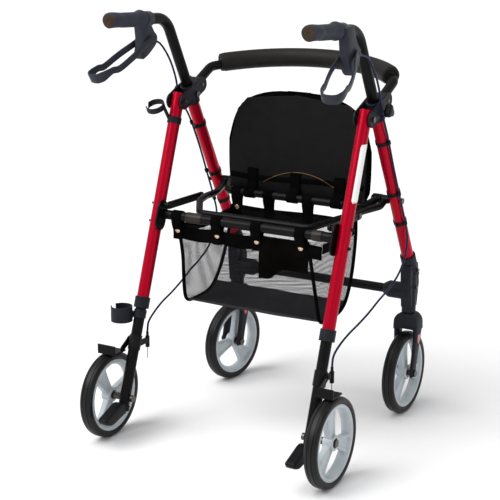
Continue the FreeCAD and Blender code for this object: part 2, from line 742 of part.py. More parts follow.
def basket():
    """A mesh shopping basket with a woven floor, open at the top."""
    half = size("basket_half_width")
    rear = size("basket_rear")
    front = size("basket_front")
    floor = size("basket_floor")

    def bag(name, inset, low, high):
        corners = [
            (f"{rear + 8 + inset}", f"{low}"), (f"{front - 34 - inset}", f"{low}"),
            (f"{front - inset}", f"{high - 40}"), (f"{front - inset}", f"{high}"),
            (f"{rear + inset}", f"{high}"), (f"{rear + inset}", f"{low + 22}"),
        ]
        return side_plate(name, corners, -half + inset, f"{2 * (half - inset)}")

    wall = size("basket_wall")
    outside = bag("basket_outside", 0.0, floor, size("basket_top"))
    inside = bag("basket_inside", wall, floor + wall, size("basket_top") + 30)
    subpart(cut("basket_bag", outside, [inside]), "basket")


def basket_straps():
    """Webbing loops with press studs: four on the rear cross tube, three on the seat bar."""
    axis = (size("rear_cross_forward"), size("rear_cross_height"))
    rear = []
    for number, x in enumerate((-186.0, -76.0, 26.0, 136.0)):
        left = x - size("strap_width") / 2
        right = x + size("strap_width") / 2
        ring = across(f"rear_ring{number}", *axis, left, right,
                      "cross_tube_radius + 0.3 + strap_thickness")
        tail = block(f"rear_tail{number}", at(left, axis[0], axis[1] - 60), "strap_width", "2.2", "48")
        bore = across(f"rear_ring_bore{number}", *axis, left - 1, right + 1, "cross_tube_radius + 0.3")
        solid = cut(f"rear_strap{number}", fuse(f"rear_strap_solid{number}", [ring, tail]), [bore])
        stud_at = at(x, axis[0] - 0.05, axis[1] - 48)
        stud = rod(f"rear_stud{number}", stud_at, stud_at - V(0, 2.45, 0), "5")
        rear += [solid, stud]
    subpart(group("rear_strap_set", rear), "basket_rear_straps")

    axis = (size("seat_bar_forward"), size("seat_bar_height"))
    front = []
    for number, x in enumerate((-150.0, -62.0, 42.0)):
        left = x - size("strap_width") / 2 + 2
        ring = across(f"front_ring{number}", *axis, left, left + 20,
                      "seat_bar_radius + 0.3 + strap_thickness")
        tail = block(f"front_tail{number}", at(left, axis[0] + 0.2, axis[1] - 78), "20", "2.2", "67.5")
        bore = across(f"front_ring_bore{number}", *axis, left - 1, left + 21, "seat_bar_radius + 0.3")
        solid = fuse(f"front_strap_solid{number}", [ring, tail])
        front.append(cut(f"front_strap{number}", solid, [bore]))
    subpart(group("front_strap_set", front), "basket_front_straps")


# ---------------------------------------------------------------- wheels and casters


def wheel(prefix, hub, side, first_spoke):
    """Tyre, rim and two bearings about an axle along X, centred on hub. The angle is in degrees."""
    tyre = revolved(f"{prefix}_tyre_{side}_body", [
        ("rim_radius + 0.02", "-11"), ("rim_radius + 4", "-tyre_half_width"),
        ("wheel_radius - 5", "1 - tyre_half_width"), ("wheel_radius - 1", "6 - tyre_half_width"),
        ("wheel_radius", "11 - tyre_half_width"), ("wheel_radius", "tyre_half_width - 11"),
        ("wheel_radius - 1", "tyre_half_width - 6"), ("wheel_radius - 5", "tyre_half_width - 1"),
        ("rim_radius + 4", "tyre_half_width"), ("rim_radius + 0.02", "11"),
    ], hub, X_AXIS)

    def axial(name, half_width, radius):
        return rod(f"{prefix}_{name}_{side}", hub - X_AXIS * half_width, hub + X_AXIS * half_width, radius)

    ring = cut(f"{prefix}_ring_{side}", axial("ring_outer", 12.5, "rim_radius"),
               [axial("ring_inner", 14, "rim_opening")])
    core = axial("hub", size("hub_half_width"), "hub_radius")
    spokes = []
    reach = (size("rim_opening") + size("rim_radius")) / 2
    for number in range(3):
        turn = FreeCAD.Rotation(X_AXIS, first_spoke + 120.0 * number)
        spoke = doc.addObject("Part::Box", f"{prefix}_spoke{number}_{side}")
        spoke.Height = reach
        spoke.Placement = FreeCAD.Placement(hub + turn.multVec(V(-8, -14, 0)), turn)
        bind(spoke, Length="16", Width="28")
        spokes.append(spoke)
    rim = cut(f"{prefix}_rim_{side}_body", fuse(f"{prefix}_rim_solid_{side}", [ring, core] + spokes),
              [axial("hub_bore", 14, "bearing_radius")])

    bearings = []
    for number, low in enumerate((-size("hub_half_width"), size("hub_half_width") - 7)):
        start = hub + X_AXIS * low
        end = start + X_AXIS * 7
        outer = rod(f"{prefix}_bearing{number}_{side}", start, end, "bearing_radius - 0.02")
        bore = rod(f"{prefix}_bearing_bore{number}_{side}", start, end, "bearing_bore")
        bearings.append(cut(f"{prefix}_bearing_ring{number}_{side}", outer, [bore]))
    return tyre, rim, group(f"{prefix}_bearings_{side}_set", bearings)


def caster_pieces():
    """Fork, stem and axle of the right-hand caster, wheel trailing straight back."""
    base = size("stem_forward")
    trail = size("wheelbase")
    height = size("wheel_radius")
    arch = front_plate("fork_arch", [
        (f"{LEG - 28}", "86"), (f"{LEG - 18.5}", "86"), (f"{LEG - 18.5}", "196"), (f"{LEG - 9}", "208"),
        (f"{LEG + 9}", "208"), (f"{LEG + 18.5}", "196"), (f"{LEG + 18.5}", "86"), (f"{LEG + 28}", "86"),
        (f"{LEG + 28}", "112"), (f"{LEG + 31}", "205"), (f"{LEG + 26}", "232"), (f"{LEG + 15}", "246"),
        (f"{LEG - 15}", "246"), (f"{LEG - 26}", "232"), (f"{LEG - 31}", "205"),
        (f"{LEG - 28}", "112"),
    ], base - 60, "120")
    profile = side_plate("fork_profile", [
        (f"{trail - 11}", "90"), (f"{trail + 11}", "90"), (f"{trail + 14}", "102"), (f"{base + 13}", "190"),
        (f"{base + 20}", "226"), (f"{base + 15}", "247"), (f"{base - 15}", "247"), (f"{base - 20}", "226"),
        (f"{base - 19}", "190"), (f"{trail - 13}", "104"),
    ], LEG - 40, "80")
    body = doc.addObject("Part::Common", "fork_body")
    body.Base = arch
    body.Tool = profile
    axle_hole = across("fork_axle_hole", trail, height, LEG - 45, LEG + 45, "axle_radius + 0.02")
    stem_hole = rod("fork_stem_hole", at(LEG, base, 230), at(LEG, base, 260), "stem_radius + 0.02")
    fork = cut("fork", body, [axle_hole, stem_hole])
    shaft = rod("stem_shaft", at(LEG, base, 230.2), at(LEG, base, 331), "stem_radius")
    washer = rod("stem_washer", at(LEG, base, 246.1), at(LEG, base, 249.8), "11")
    stem = fuse("stem", [shaft, washer])
    bolt = across("front_axle_shaft", trail, height, LEG - 31, LEG + 31, "axle_radius")
    heads = [
        across("front_axle_head", trail, height, LEG + 28.05, LEG + 32, "8"),
        across("front_axle_nut", trail, height, LEG - 32, LEG - 28.05, "8"),
        across("front_spacer_outer", trail, height, LEG + 12.2, LEG + 18.4, "7"),
        across("front_spacer_inner", trail, height, LEG - 18.4, LEG - 12.2, "7"),
    ]
    axle = fuse("front_axle", [bolt] + heads)
    return {"caster_fork": fork, "caster_stem": stem, "front_axle": axle}


WHEEL_PARTS = ("tyre", "rim", "bearings")


def wheels_and_casters():
    """Each wheel has stopped with its spokes at an angle of its own; the left caster is turned a little."""
    height = size("wheel_radius")
    for side, plane, first_spoke in (
        ("right", size("rear_wheel_plane"), 10.0),
        ("left", -size("rear_wheel_plane"), 35.0),
    ):
        rear = wheel("rear", at(plane, 0, height), side, first_spoke)
        for name, piece in zip(WHEEL_PARTS, rear):
            subpart(piece, f"rear_{name}_{side}")

    hub = at(LEG, size("wheelbase"), height)
    carriers = caster_pieces()
    right = dict(zip(WHEEL_PARTS, wheel("front", hub, "right", 15.0)))
    left = dict(zip(WHEEL_PARTS, wheel("front", hub, "left", -20.0)))
    for name, piece in right.items():
        subpart(piece, f"front_{name}_right")
    for name, piece in carriers.items():
        subpart(piece, f"{name}_right")

    stem = at(-LEG, size("stem_forward"), 0)
    turn = FreeCAD.Rotation(Z_AXIS, -size("left_caster_yaw"))
    sources = {f"front_{name}": piece for name, piece in left.items()}
    sources.update(carriers)
    for name, piece in sources.items():
        turned = group(f"{name}_turned", [mirror(f"{name}_mirrored", piece)])
        turned.Placement = FreeCAD.Placement(stem - turn.multVec(stem), turn)
        subpart(turned, f"{name}_left")


# ---------------------------------------------------------------- handles and brakes


def grip_line():
    corner = on_front_leg(size("bend_height"))
    end = at(LEG, size("grip_end_forward"), size("grip_end_height"))
    return corner, end, (corner - end).normalize()


def handles():
    corner, end, inward = grip_line()
    foot = on_front_leg(690)
    tube = bent_tube("handle_rod", [foot, corner, end + inward * 6], [62], "slide_radius", "slide_wall")
    both("handle_tube", tube)

    grip = revolved("grip_body", [
        ("0.01", "0"), ("grip_radius - 1.5", "0"), ("grip_radius", "2"), ("grip_radius + 0.5", "30"),
        ("grip_radius - 0.5", "70"), ("grip_radius - 1", "grip_length - 26"),
        ("grip_radius + 2.5", "grip_length - 14"), ("grip_radius + 2.5", "grip_length - 6"),
        ("grip_radius - 1", "grip_length"), ("slide_radius + 0.02", "grip_length"),
        ("slide_radius + 0.02", "5.9"), ("0.01", "5.9"),
    ], end, inward)
    both("grip", grip)

    pivot = (size("lever_pivot_forward"), size("lever_pivot_height"))
    start = end + inward * (size("grip_length") + 0.5)
    clamp = rod("clamp_body", start, start + inward * 26, "slide_radius + 4")
    shell = side_plate("housing_shell", [
        ("103", "939"), ("118", "945"), ("116", "952"), ("93", "953"), ("92", "930"), ("99", "912"),
        ("103", "884"), ("121", "862"), ("138", "872"), ("149", "893"), ("150", "912"), ("128", "938"),
    ], LEVER - 10, "20")
    spout = rod("cable_spout", at(LEVER + 8, 144, 903), at(LEVER + 8.5, 155, 900), "4.5")
    clamp_bore = rod("clamp_bore", start - inward * 2, start + inward * 28, "slide_radius + 0.02")
    pivot_bore = across("housing_pivot_bore", *pivot, LEVER - 15, LEVER + 15, f"bolt_radius + {RUN}")
    housing = cut("housing", fuse("housing_solid", [clamp, shell, spout]), [clamp_bore, pivot_bore])
    both("brake_housing", housing)


def brake_levers():
    """A strip bent into a long loop, its two ends on either side of the housing."""
    pivot = at(LEVER, size("lever_pivot_forward"), size("lever_pivot_height"))
    along = V(32, -139, -76).normalize()
    sideways = V(along.y, -along.x, 0).normalize() * -1
    upward = along.cross(sideways)
    half = size("lever_height") / 2
    body = doc.addObject("PartDesign::Body", "lever_loop")
    corners = [
        ("-8", "18"), ("34", "22"), ("60", "26"), ("118", "26"), ("138", "24"), ("158", "21"),
        ("165", "12"), ("165", "-12"), ("158", "-21"), ("138", "-24"), ("118", "-26"), ("60", "-26"),
        ("34", "-22"), ("-8", "-18"), ("-8", "-13.5"), ("34", "-17.5"), ("62", "-21.5"), ("116", "-21.5"),
        ("136", "-19.5"), ("154", "-17"), ("160", "-9"), ("160", "9"), ("154", "17"), ("136", "19.5"),
        ("116", "21.5"), ("62", "21.5"), ("34", "17.5"), ("-8", "13.5"),
    ]
    sketch = outline(body, "XY_Plane", corners, "lever_outline")
    pad = body.newObject("PartDesign::Pad", "lever_pad")
    pad.Profile = sketch
    bind(pad, Length="lever_height")
    body.Tip = pad
    turn = FreeCAD.Rotation(along, sideways, upward, "XYZ")
    body.Placement = FreeCAD.Placement(pivot - upward * half, turn)
    pin = rod("lever_pin", pivot - X_AXIS * 15, pivot + X_AXIS * 15, "bolt_radius")
    both("brake_lever", fuse("lever", [body, pin]))


def height_knobs():
    """Lobed clamping knobs outside the top brackets; each screw ends on the handle tube."""
    axis = front_leg_side(size("knob_height"))
    near = 264.6
    boss = across("knob_boss", *axis, near, near + 14, "knob_radius - 4")
    lobes = []
    for number in range(3):
        angle = radians(90 + 120 * number)
        point = (axis[0] + 10 * cos(angle), axis[1] + 10 * sin(angle))
        lobes.append(across(f"knob_lobe{number}", *point, near, near + 14, "knob_radius - 9"))
    screw = across("knob_screw", *axis, LEG + 12.8, near + 2, "bolt_radius - 1")
    both("height_knob", fuse("knob", [boss, screw] + lobes))


def brake_arms():
    """Pressed plates that turn on the rear legs and bear on the tyres."""
    pivot = rear_leg_side(size("brake_pivot_height"))
    lug = oblong("arm_lug", pivot, (12.0, 212.0), LEG + 14.6, "7", "3")
    shoe = block("arm_shoe", at(LEG + 14.6, -22, 203.6), "46.5", "44", "3.4")
    flange = block("arm_flange", at(LEG + 14.6, -22, 203.6), "46.5", "3", "22")
    bore = across("arm_bore", *pivot, LEG + 10, LEG + 20, "bolt_radius")
    both("brake_arm", cut("arm", fuse("arm_solid", [lug, shoe, flange]), [bore]))


CABLE_POINTS = [
    (260.0, 157.5, 899.5),
    (260.4, 197.0, 887.0),
    (260.6, 231.0, 851.0),
    (260.8, 255.0, 804.0),
    (261.4, 272.0, 757.0),
    (258.0, 303.0, 714.0),
    (255.8, 330.0, 671.0),
    (255.6, 351.0, 627.0),
    (255.9, 374.0, 582.0),
    (257.0, 396.0, 535.0),
    (257.6, 420.0, 489.0),
    (258.5, 436.0, 445.0),
    (258.0, 427.0, 403.0),
    (256.5, 394.0, 370.0),
    (254.5, 347.0, 348.0),
    (252.0, 298.0, 330.5),
    (249.0, 251.0, 312.0),
    (246.0, 206.0, 298.0),
    (243.5, 163.0, 287.0),
    (241.0, 124.0, 273.0),
    (240.0, 98.0, 257.0),
    (240.0, 92.0, 233.0),
]


def brake_cables():
    points = [at(*point) for point in CABLE_POINTS]
    radii = cable_radii(points)
    wire = rounded_wire(points, radii)
    cable = sweep("cable", wire, "cable_radius")
    both("brake_cable", cable)
    print("cable length", round(wire.Length, 1), "arc radii", [round(radius) for radius in radii])
    return cable, wire


def cable_clips():
    """Bands round the front legs, each with an eye for the cable."""
    clips = []
    places = ((690.0, (256.8, 318.0)), (562.0, (256.4, 383.4)), (486.0, (257.7, 421.2)))
    for number, (up, cable_at) in enumerate(places):
        low = on_front_leg(up - 4)
        high = on_front_leg(up + 4)
        band = rod(f"clip_band{number}", low, high, "leg_radius + 1.6")
        eye_at = at(cable_at[0], cable_at[1], up)
        eye = rod(f"clip_eye{number}", eye_at - FRONT_UP * 4, eye_at + FRONT_UP * 4, "4.6")
        nub_at = on_front_leg(up)
        nub = rod(f"clip_nub{number}", nub_at - V(0, 13, 8), nub_at - V(0, 17, 10), "3.5")
        band_bore = rod(f"clip_bore{number}", low - FRONT_UP * 5, high + FRONT_UP * 5, "leg_radius + 0.05")
        eye_bore = rod(f"clip_eye_bore{number}", eye_at - FRONT_UP * 9, eye_at + FRONT_UP * 9,
                       "cable_radius + 1.3")
        solid = fuse(f"clip_solid{number}", [band, eye, nub])
        clips.append(cut(f"clip{number}", solid, [band_bore, eye_bore]))
    twins = [mirror(f"clip_twin{number}", clip) for number, clip in enumerate(clips)]
    subpart(group("cable_clip_set", clips + twins), "cable_clips")


# ---------------------------------------------------------------- build, check and export

front_legs()
top_brackets()
backrest()
front_corners()
stem_bearings()
seat_bar()
frame_bolts()
rear_legs()
rear_cross()
rear_axles()
curb_levers()
brake_mounts()
cane_holder()
fold_bar()
side_links()
seat()
basket()
basket_straps()
wheels_and_casters()
handles()
brake_levers()
height_knobs()
brake_arms()
cable_solid, cable_wire = brake_cables()
cable_clips()
doc.recompute()

for thing in doc.Objects:
    if {"Invalid", "Error"} & set(thing.State):
        raise SystemExit(f"{thing.Label} failed: {thing.State} {thing.getStatusString()}")
box = FreeCAD.BoundBox()
for thing in subparts:
    if thing.Shape.isNull() or not thing.Shape.isValid():
        raise SystemExit(f"{thing.Label} is null or not valid")
    box.add(thing.Shape.BoundBox)

section = pi * size("cable_radius") ** 2
share = cable_solid.Shape.Volume / (section * cable_wire.Length)
print("cable volume over section times length", round(share, 4))
print("box", [round(value, 1) for value in (box.XMin, box.XMax, box.YMin, box.YMax, box.ZMin, box.ZMax)])
print(len(subparts), "sub-parts")

os.makedirs("parts", exist_ok=True)
for thing in subparts:
    thing.Shape.exportStep(f"parts/{thing.Label}.step")
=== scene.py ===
import json
from math import cos, pi, radians, sin

import bmesh
import bpy
from mathutils import Matrix, Vector


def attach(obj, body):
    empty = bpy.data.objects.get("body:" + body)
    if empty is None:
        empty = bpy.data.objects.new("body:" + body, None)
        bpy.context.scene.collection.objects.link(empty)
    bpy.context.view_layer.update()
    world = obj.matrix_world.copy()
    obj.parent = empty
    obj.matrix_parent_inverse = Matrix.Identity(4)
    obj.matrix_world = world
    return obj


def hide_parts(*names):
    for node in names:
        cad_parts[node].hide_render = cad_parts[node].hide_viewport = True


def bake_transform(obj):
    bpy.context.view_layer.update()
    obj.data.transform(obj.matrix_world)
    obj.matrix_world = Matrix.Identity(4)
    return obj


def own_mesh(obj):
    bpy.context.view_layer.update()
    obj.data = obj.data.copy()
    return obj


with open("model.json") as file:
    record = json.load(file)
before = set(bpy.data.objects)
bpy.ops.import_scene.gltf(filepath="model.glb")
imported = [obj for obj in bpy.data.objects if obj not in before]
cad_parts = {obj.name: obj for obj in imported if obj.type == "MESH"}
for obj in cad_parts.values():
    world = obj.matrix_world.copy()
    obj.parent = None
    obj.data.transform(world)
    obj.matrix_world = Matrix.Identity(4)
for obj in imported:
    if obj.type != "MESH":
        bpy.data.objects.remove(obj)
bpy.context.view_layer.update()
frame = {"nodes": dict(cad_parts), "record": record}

# The frame is in metres: +X to the user's right, +Y forwards, +Z up. Distances below are in millimetres, as
# in the CAD, and those in the side view are forwards of the rear axle. P() turns them into the frame.
AXLE_TO_CENTRE = 242.5
LEG = 238.5
LEVER = LEG + 13
WHEEL_RADIUS = 100
REAR_HUB = 285
FRONT_AXLE = 485
CASTER_STEM = 503
KNOB_UP = 765
REAR_TUBE = (141.0, 505.5)
SEAT_BAR = (352.0, 528.0)
BRACKET_LOW = (229.0, 753.5)
BRACKET_HIGH = (306.0, 785.0)
SMOOTH_ANGLE = radians(38)


def P(x, forward, up):
    return Vector((x / 1000, (forward - AXLE_TO_CENTRE) / 1000, up / 1000))


def mm(vector):
    return Vector(vector) / 1000


def front_leg_forward(up):
    """The middle of the front leg in the side view."""
    return 329.3 - 0.545 * (up - 678.6)


def rear_leg_forward(up):
    """The middle of the rear leg in the side view, below its pivot in the bracket."""
    return BRACKET_LOW[0] - 0.358 * (BRACKET_LOW[1] - up)


def on_front_leg(up):
    return P(LEG, front_leg_forward(up), up)


def on_rear_leg(up):
    return P(LEG, rear_leg_forward(up), up)


REAR_UP = (on_rear_leg(500) - on_rear_leg(400)).normalized()

# ---------------------------------------------------------------- materials


class Nodes:
    """One procedural material and short ways to add its nodes."""

    def __init__(self, name):
        self.material = bpy.data.materials.new(name)
        self.material.use_nodes = True
        self.tree = self.material.node_tree
        self.shader = self.tree.nodes["Principled BSDF"]

    def add(self, kind, **settings):
        node = self.tree.nodes.new(kind)
        for key, value in settings.items():
            if hasattr(node, key):
                setattr(node, key, value)
            else:
                node.inputs[key.replace("_", " ")].default_value = value
        return node

    def link(self, out, into):
        self.tree.links.new(out, into)

    def set(self, **values):
        for key, value in values.items():
            self.shader.inputs[key.replace("_", " ")].default_value = value

    def coordinates(self):
        return self.add("ShaderNodeTexCoord").outputs["Object"]

    def noise(self, scale, detail=3.0, where=None):
        node = self.add("ShaderNodeTexNoise", Scale=scale, Detail=detail)
        self.link(where or self.coordinates(), node.inputs["Vector"])
        return node.outputs["Fac"]

    def ramp(self, fac, stops):
        node = self.add("ShaderNodeValToRGB")
        self.link(fac, node.inputs["Fac"])
        elements = node.color_ramp.elements
        while len(elements) < len(stops):
            elements.new(0.5)
        for element, (place, colour) in zip(elements, stops):
            element.position = place
            element.color = colour if len(colour) == 4 else (*colour, 1)
        return node.outputs["Color"]

    def spread(self, fac, low, high, from_low=0.3, from_high=0.7):
        node = self.add("ShaderNodeMapRange")
        self.link(fac, node.inputs["Value"])
        for key, value in zip(("From Min", "From Max", "To Min", "To Max"), (from_low, from_high, low, high)):
            node.inputs[key].default_value = value
        return node.outputs["Result"]

    def math(self, operation, first, second=None):
        node = self.add("ShaderNodeMath", operation=operation)
        for socket, value in zip(node.inputs, (first, second)):
            if value is None:
                continue
            if isinstance(value, (int, float)):
                socket.default_value = value
            else:
                self.link(value, socket)
        return node.outputs[0]

    def bump(self, height, strength, distance, rounded=0.0):
        node = self.add("ShaderNodeBump", Strength=strength, Distance=distance)
        self.link(height, node.inputs["Height"])
        if rounded:
            edge = self.add("ShaderNodeBevel", samples=6, Radius=rounded)
            self.link(edge.outputs["Normal"], node.inputs["Normal"])
        self.link(node.outputs["Normal"], self.shader.inputs["Normal"])


def red_paint():
    """Metallic red under clear coat: fine flakes, slight orange peel."""
    n = Nodes("red_paint")
    flake = n.noise(2600.0, 1.0)
    n.link(n.ramp(flake, [(0.35, (0.30, 0.0, 0.010)), (0.7, (0.50, 0.0, 0.022))]),
           n.shader.inputs["Base Color"])
    n.link(n.spread(flake, 0.22, 0.38), n.shader.inputs["Roughness"])
    n.set(Metallic=0.55, Specular_IOR_Level=0.1, Coat_Weight=0.06, Coat_Roughness=0.15)
    n.bump(n.noise(260.0), 0.04, 0.0004)
    return n.material


def black_paint():
    """Satin black powder coat."""
    n = Nodes("black_paint")
    cloud = n.noise(60.0, 4.0)
    n.link(n.ramp(cloud, [(0.3, (0.002, 0.002, 0.0025)), (0.7, (0.005, 0.0045, 0.0045))]),
           n.shader.inputs["Base Color"])
    n.link(n.spread(cloud, 0.3, 0.4), n.shader.inputs["Roughness"])
    n.set(Specular_IOR_Level=0.1)
    n.bump(n.noise(420.0), 0.06, 0.0003, 0.0008)
    return n.material


def moulded(name, dark, light, rough=(0.38, 0.52), grain=1500.0, rounded=0.0015, depth=0.18, gloss=0.12):
    """Moulded plastic: a fine grain, slight blotches and softened edges."""
    n = Nodes(name)
    blotch = n.noise(35.0, 5.0)
    n.link(n.ramp(blotch, [(0.3, dark), (0.7, light)]), n.shader.inputs["Base Color"])
    n.link(n.spread(blotch, *rough), n.shader.inputs["Roughness"])
    n.set(Specular_IOR_Level=gloss)
    n.bump(n.noise(grain, 2.0), depth, 0.0004, rounded)
    return n.material


def metal(name, dark, light, rough=(0.18, 0.34)):
    """Bare or plated metal with fine streaks."""
    n = Nodes(name)
    streak = n.noise(300.0, 4.0)
    n.link(n.ramp(streak, [(0.3, dark), (0.7, light)]), n.shader.inputs["Base Color"])
    n.link(n.spread(streak, *rough), n.shader.inputs["Roughness"])
    n.set(Metallic=1.0)
    n.bump(n.noise(900.0), 0.05, 0.0003, 0.0006)
    return n.material


def tyre_rubber():
    """Black rubber with a little dust."""
    n = Nodes("tyre_rubber")
    dust = n.noise(22.0, 6.0)
    n.link(n.ramp(dust, [(0.3, (0.004, 0.004, 0.0045)), (0.75, (0.010, 0.009, 0.009))]),
           n.shader.inputs["Base Color"])
    n.link(n.spread(dust, 0.34, 0.5), n.shader.inputs["Roughness"])
    n.set(Specular_IOR_Level=0.22)
    n.bump(n.noise(700.0, 3.0), 0.25, 0.0005)
    return n.material


def weave(name, dark, light, threads, rough=0.75, depth=0.5, sheen=0.0, blotch=18.0):
    """Plain-woven cloth: threads that cross in the object's three planes, over uneven blotches."""
    n = Nodes(name)
    where = n.coordinates()
    parts = n.add("ShaderNodeSeparateXYZ")
    n.link(where, parts.inputs[0])
    waves = [n.math("SINE", n.math("MULTIPLY", parts.outputs[axis], threads)) for axis in range(3)]
    crossed = n.math("ADD", n.math("MULTIPLY", waves[0], waves[2]), n.math("MULTIPLY", waves[1], waves[2]))
    crossed = n.math("ADD", crossed, n.math("MULTIPLY", waves[0], waves[1]))
    uneven = n.noise(blotch, 5.0, where)
    n.link(n.ramp(n.math("ADD", n.math("MULTIPLY", crossed, 0.12), uneven), [(0.3, dark), (0.75, light)]),
           n.shader.inputs["Base Color"])
    n.set(Roughness=rough, Sheen_Weight=sheen, Sheen_Roughness=0.5, Specular_IOR_Level=0.01)
    n.bump(n.math("ADD", crossed, n.math("MULTIPLY", uneven, 2.0)), depth, 0.0004)
    return n.material


def open_mesh():
    """Fine netting: holes in a diamond pattern, a little uneven, between black threads."""
    n = Nodes("open_mesh")
    uv = n.add("ShaderNodeTexCoord").outputs["UV"]
    parts = n.add("ShaderNodeSeparateXYZ")
    n.link(uv, parts.inputs[0])
    pitch = 2 * pi / 3.2
    waves = [n.math("SINE", n.math("MULTIPLY", parts.outputs[axis], pitch)) for axis in (0, 1)]
    crossed = n.math("MULTIPLY", *waves)
    drift = n.noise(90.0, 2.0, uv)
    hole = n.math("GREATER_THAN", n.math("ADD", crossed, n.math("MULTIPLY", drift, 0.3)), 0.09)
    n.link(n.math("SUBTRACT", 1.0, n.math("MULTIPLY", hole, 0.93)), n.shader.inputs["Alpha"])
    n.link(n.ramp(drift, [(0.3, (0.003, 0.003, 0.0035)), (0.7, (0.009, 0.009, 0.010))]),
           n.shader.inputs["Base Color"])
    n.set(Roughness=0.7, Specular_IOR_Level=0.05)
    n.bump(crossed, 0.3, 0.0003)
    return n.material


def reflector_red():
    """Clear red plastic over small facets."""
    n = Nodes("reflector_red")
    facets = n.add("ShaderNodeTexVoronoi", Scale=420.0)
    n.link(n.coordinates(), facets.inputs["Vector"])
    n.link(n.ramp(facets.outputs["Distance"], [(0.1, (0.75, 0.01, 0.015)), (0.6, (0.45, 0.004, 0.008))]),
           n.shader.inputs["Base Color"])
    n.set(Roughness=0.15, Coat_Weight=1.0)
    n.bump(facets.outputs["Distance"], 0.3, 0.0004)
    return n.material


MATERIALS = {
    "red": red_paint(),
    "black_tube": black_paint(),
    "casting": moulded("casting_plastic", (0.008, 0.009, 0.013), (0.015, 0.016, 0.022)),
    "wheel_plastic": moulded("wheel_plastic", (0.40, 0.445, 0.47), (0.48, 0.53, 0.56), (0.3, 0.42), 900.0,
                             0.002, 0.1, 0.3),
    "tyre": tyre_rubber(),
    "steel": metal("dark_zinc_steel", (0.07, 0.062, 0.055), (0.15, 0.135, 0.12), (0.25, 0.4)),
    "black_plastic": moulded("black_plastic", (0.003, 0.003, 0.0035), (0.007, 0.007, 0.008)),
    "lever_plastic": moulded("lever_plastic", (0.020, 0.023, 0.032), (0.032, 0.036, 0.048), (0.32, 0.45)),
    "foam": moulded("foam_skin", (0.005, 0.0045, 0.004), (0.010, 0.0085, 0.0075), (0.5, 0.66), 1100.0, 0.003,
                    0.4, 0.2),
    "grip_rubber": moulded("grip_rubber", (0.024, 0.028, 0.040), (0.038, 0.043, 0.058), (0.5, 0.65), 2000.0,
                           0.002, 0.3),
    "webbing": weave("webbing", (0.0016, 0.0015, 0.0015), (0.004, 0.0037, 0.0035), 4200.0),
    "polyester": weave("polyester", (0.0010, 0.0009, 0.0008), (0.0035, 0.0031, 0.0028), 5200.0, 0.85, 0.35),
    "floor_cloth": weave("floor_cloth", (0.028, 0.029, 0.031), (0.050, 0.051, 0.054), 3600.0, 0.7, 0.45),
    "mesh": open_mesh(),
    "board": moulded("seat_board", (0.002, 0.002, 0.002), (0.005, 0.0045, 0.0045), (0.4, 0.55)),
    "cable": moulded("cable_housing", (0.006, 0.008, 0.030), (0.014, 0.018, 0.055), (0.25, 0.35), 800.0, 0.0,
                     0.1),
    "reflector": reflector_red(),
    "brass": metal("snap_brass", (0.55, 0.40, 0.24), (0.78, 0.62, 0.42)),
    "sleeve": moulded("clear_sleeve", (0.010, 0.007, 0.006), (0.024, 0.017, 0.013), (0.3, 0.4), 900.0, 0.001,
                      0.1, 0.2),
    "end_cap": moulded("grip_end", (0.030, 0.018, 0.011), (0.050, 0.032, 0.020), (0.3, 0.4)),
    "label": moulded("label_film", (0.80, 0.80, 0.80), (0.88, 0.88, 0.87), (0.3, 0.4), 300.0, 0.0, 0.05),
    "label_edge": moulded("label_edge", (0.62, 0.42, 0.18), (0.72, 0.52, 0.26), (0.3, 0.4), 300.0, 0.0, 0.05),
    # Brown painted highlight: the glint along the seat board's moulded rib, given as colour on a thin tube.
    # The board itself is black.
    "painted_rib_highlight": moulded("painted_rib_highlight", (0.10, 0.055, 0.025), (0.16, 0.09, 0.045), (0.4, 0.5)),
}

slots = {item["node"]: item["material_slot"] for item in frame["record"]["subparts"]}
for node, thing in frame["nodes"].items():
    thing.data.materials.clear()
    thing.data.materials.append(MATERIALS[slots[node]])

# ---------------------------------------------------------------- mesh helpers


def new_object(name, mesh, material, angle=SMOOTH_ANGLE):
    mesh.validate()
    mesh.shade_smooth()
    mesh.set_sharp_from_angle(angle=angle)
    thing = bpy.data.objects.new(name, mesh)
    bpy.context.scene.collection.objects.link(thing)
    mesh.materials.append(MATERIALS[material])
    return thing


def from_faces(name, points, faces, material, angle=SMOOTH_ANGLE):
    mesh = bpy.data.meshes.new(name)
    mesh.from_pydata([tuple(point) for point in points], [], faces)
    work = bmesh.new()
    work.from_mesh(mesh)
    bmesh.ops.remove_doubles(work, verts=work.verts, dist=1e-7)
    bmesh.ops.recalc_face_normals(work, faces=work.faces)
    work.to_mesh(mesh)
    work.free()
    return new_object(name, mesh, material, angle)


def loft(name, rings, material, closed=False, capped=True, angle=SMOOTH_ANGLE):
    """Rings of points joined one to the next."""
    count = len(rings[0])
    points = [point for ring in rings for point in ring]
    faces = []
    spans = len(rings) if closed else len(rings) - 1
    for row in range(spans):
        first = row * count
        second = (row + 1) % len(rings) * count
        for number in range(count):
            after = (number + 1) % count
            faces.append((first + number, first + after, second + after, second + number))
    if capped and not closed:
        faces.append(tuple(range(count)))
        faces.append(tuple(range((len(rings) - 1) * count, len(rings) * count)))
    return from_faces(name, points, faces, material, angle)


def across(axis):
    """Two directions at right angles to an axis."""
    axis = Vector(axis).normalized()
    guide = Vector((0, 0, 1)) if abs(axis.z) < 0.9 else Vector((0, 1, 0))
    first = guide.cross(axis).normalized()
    return first, axis.cross(first)


def circle(centre, axis, radius, count=24, stretch=1.0):
    first, second = across(axis)
    return [
        centre + (first * cos(turn) + second * sin(turn) * stretch) * radius
        for turn in (2 * pi * step / count for step in range(count))
    ]


def lathe(name, centre, axis, profile, material, count=64, closed=False, angle=SMOOTH_ANGLE):
    """A profile of (distance along the axis, radius) in millimetres, turned about it."""
    axis = Vector(axis).normalized()
    rings = [circle(centre + axis * (along / 1000), axis, radius / 1000, count) for along, radius in profile]
    return loft(name, rings, material, closed, not closed, angle)


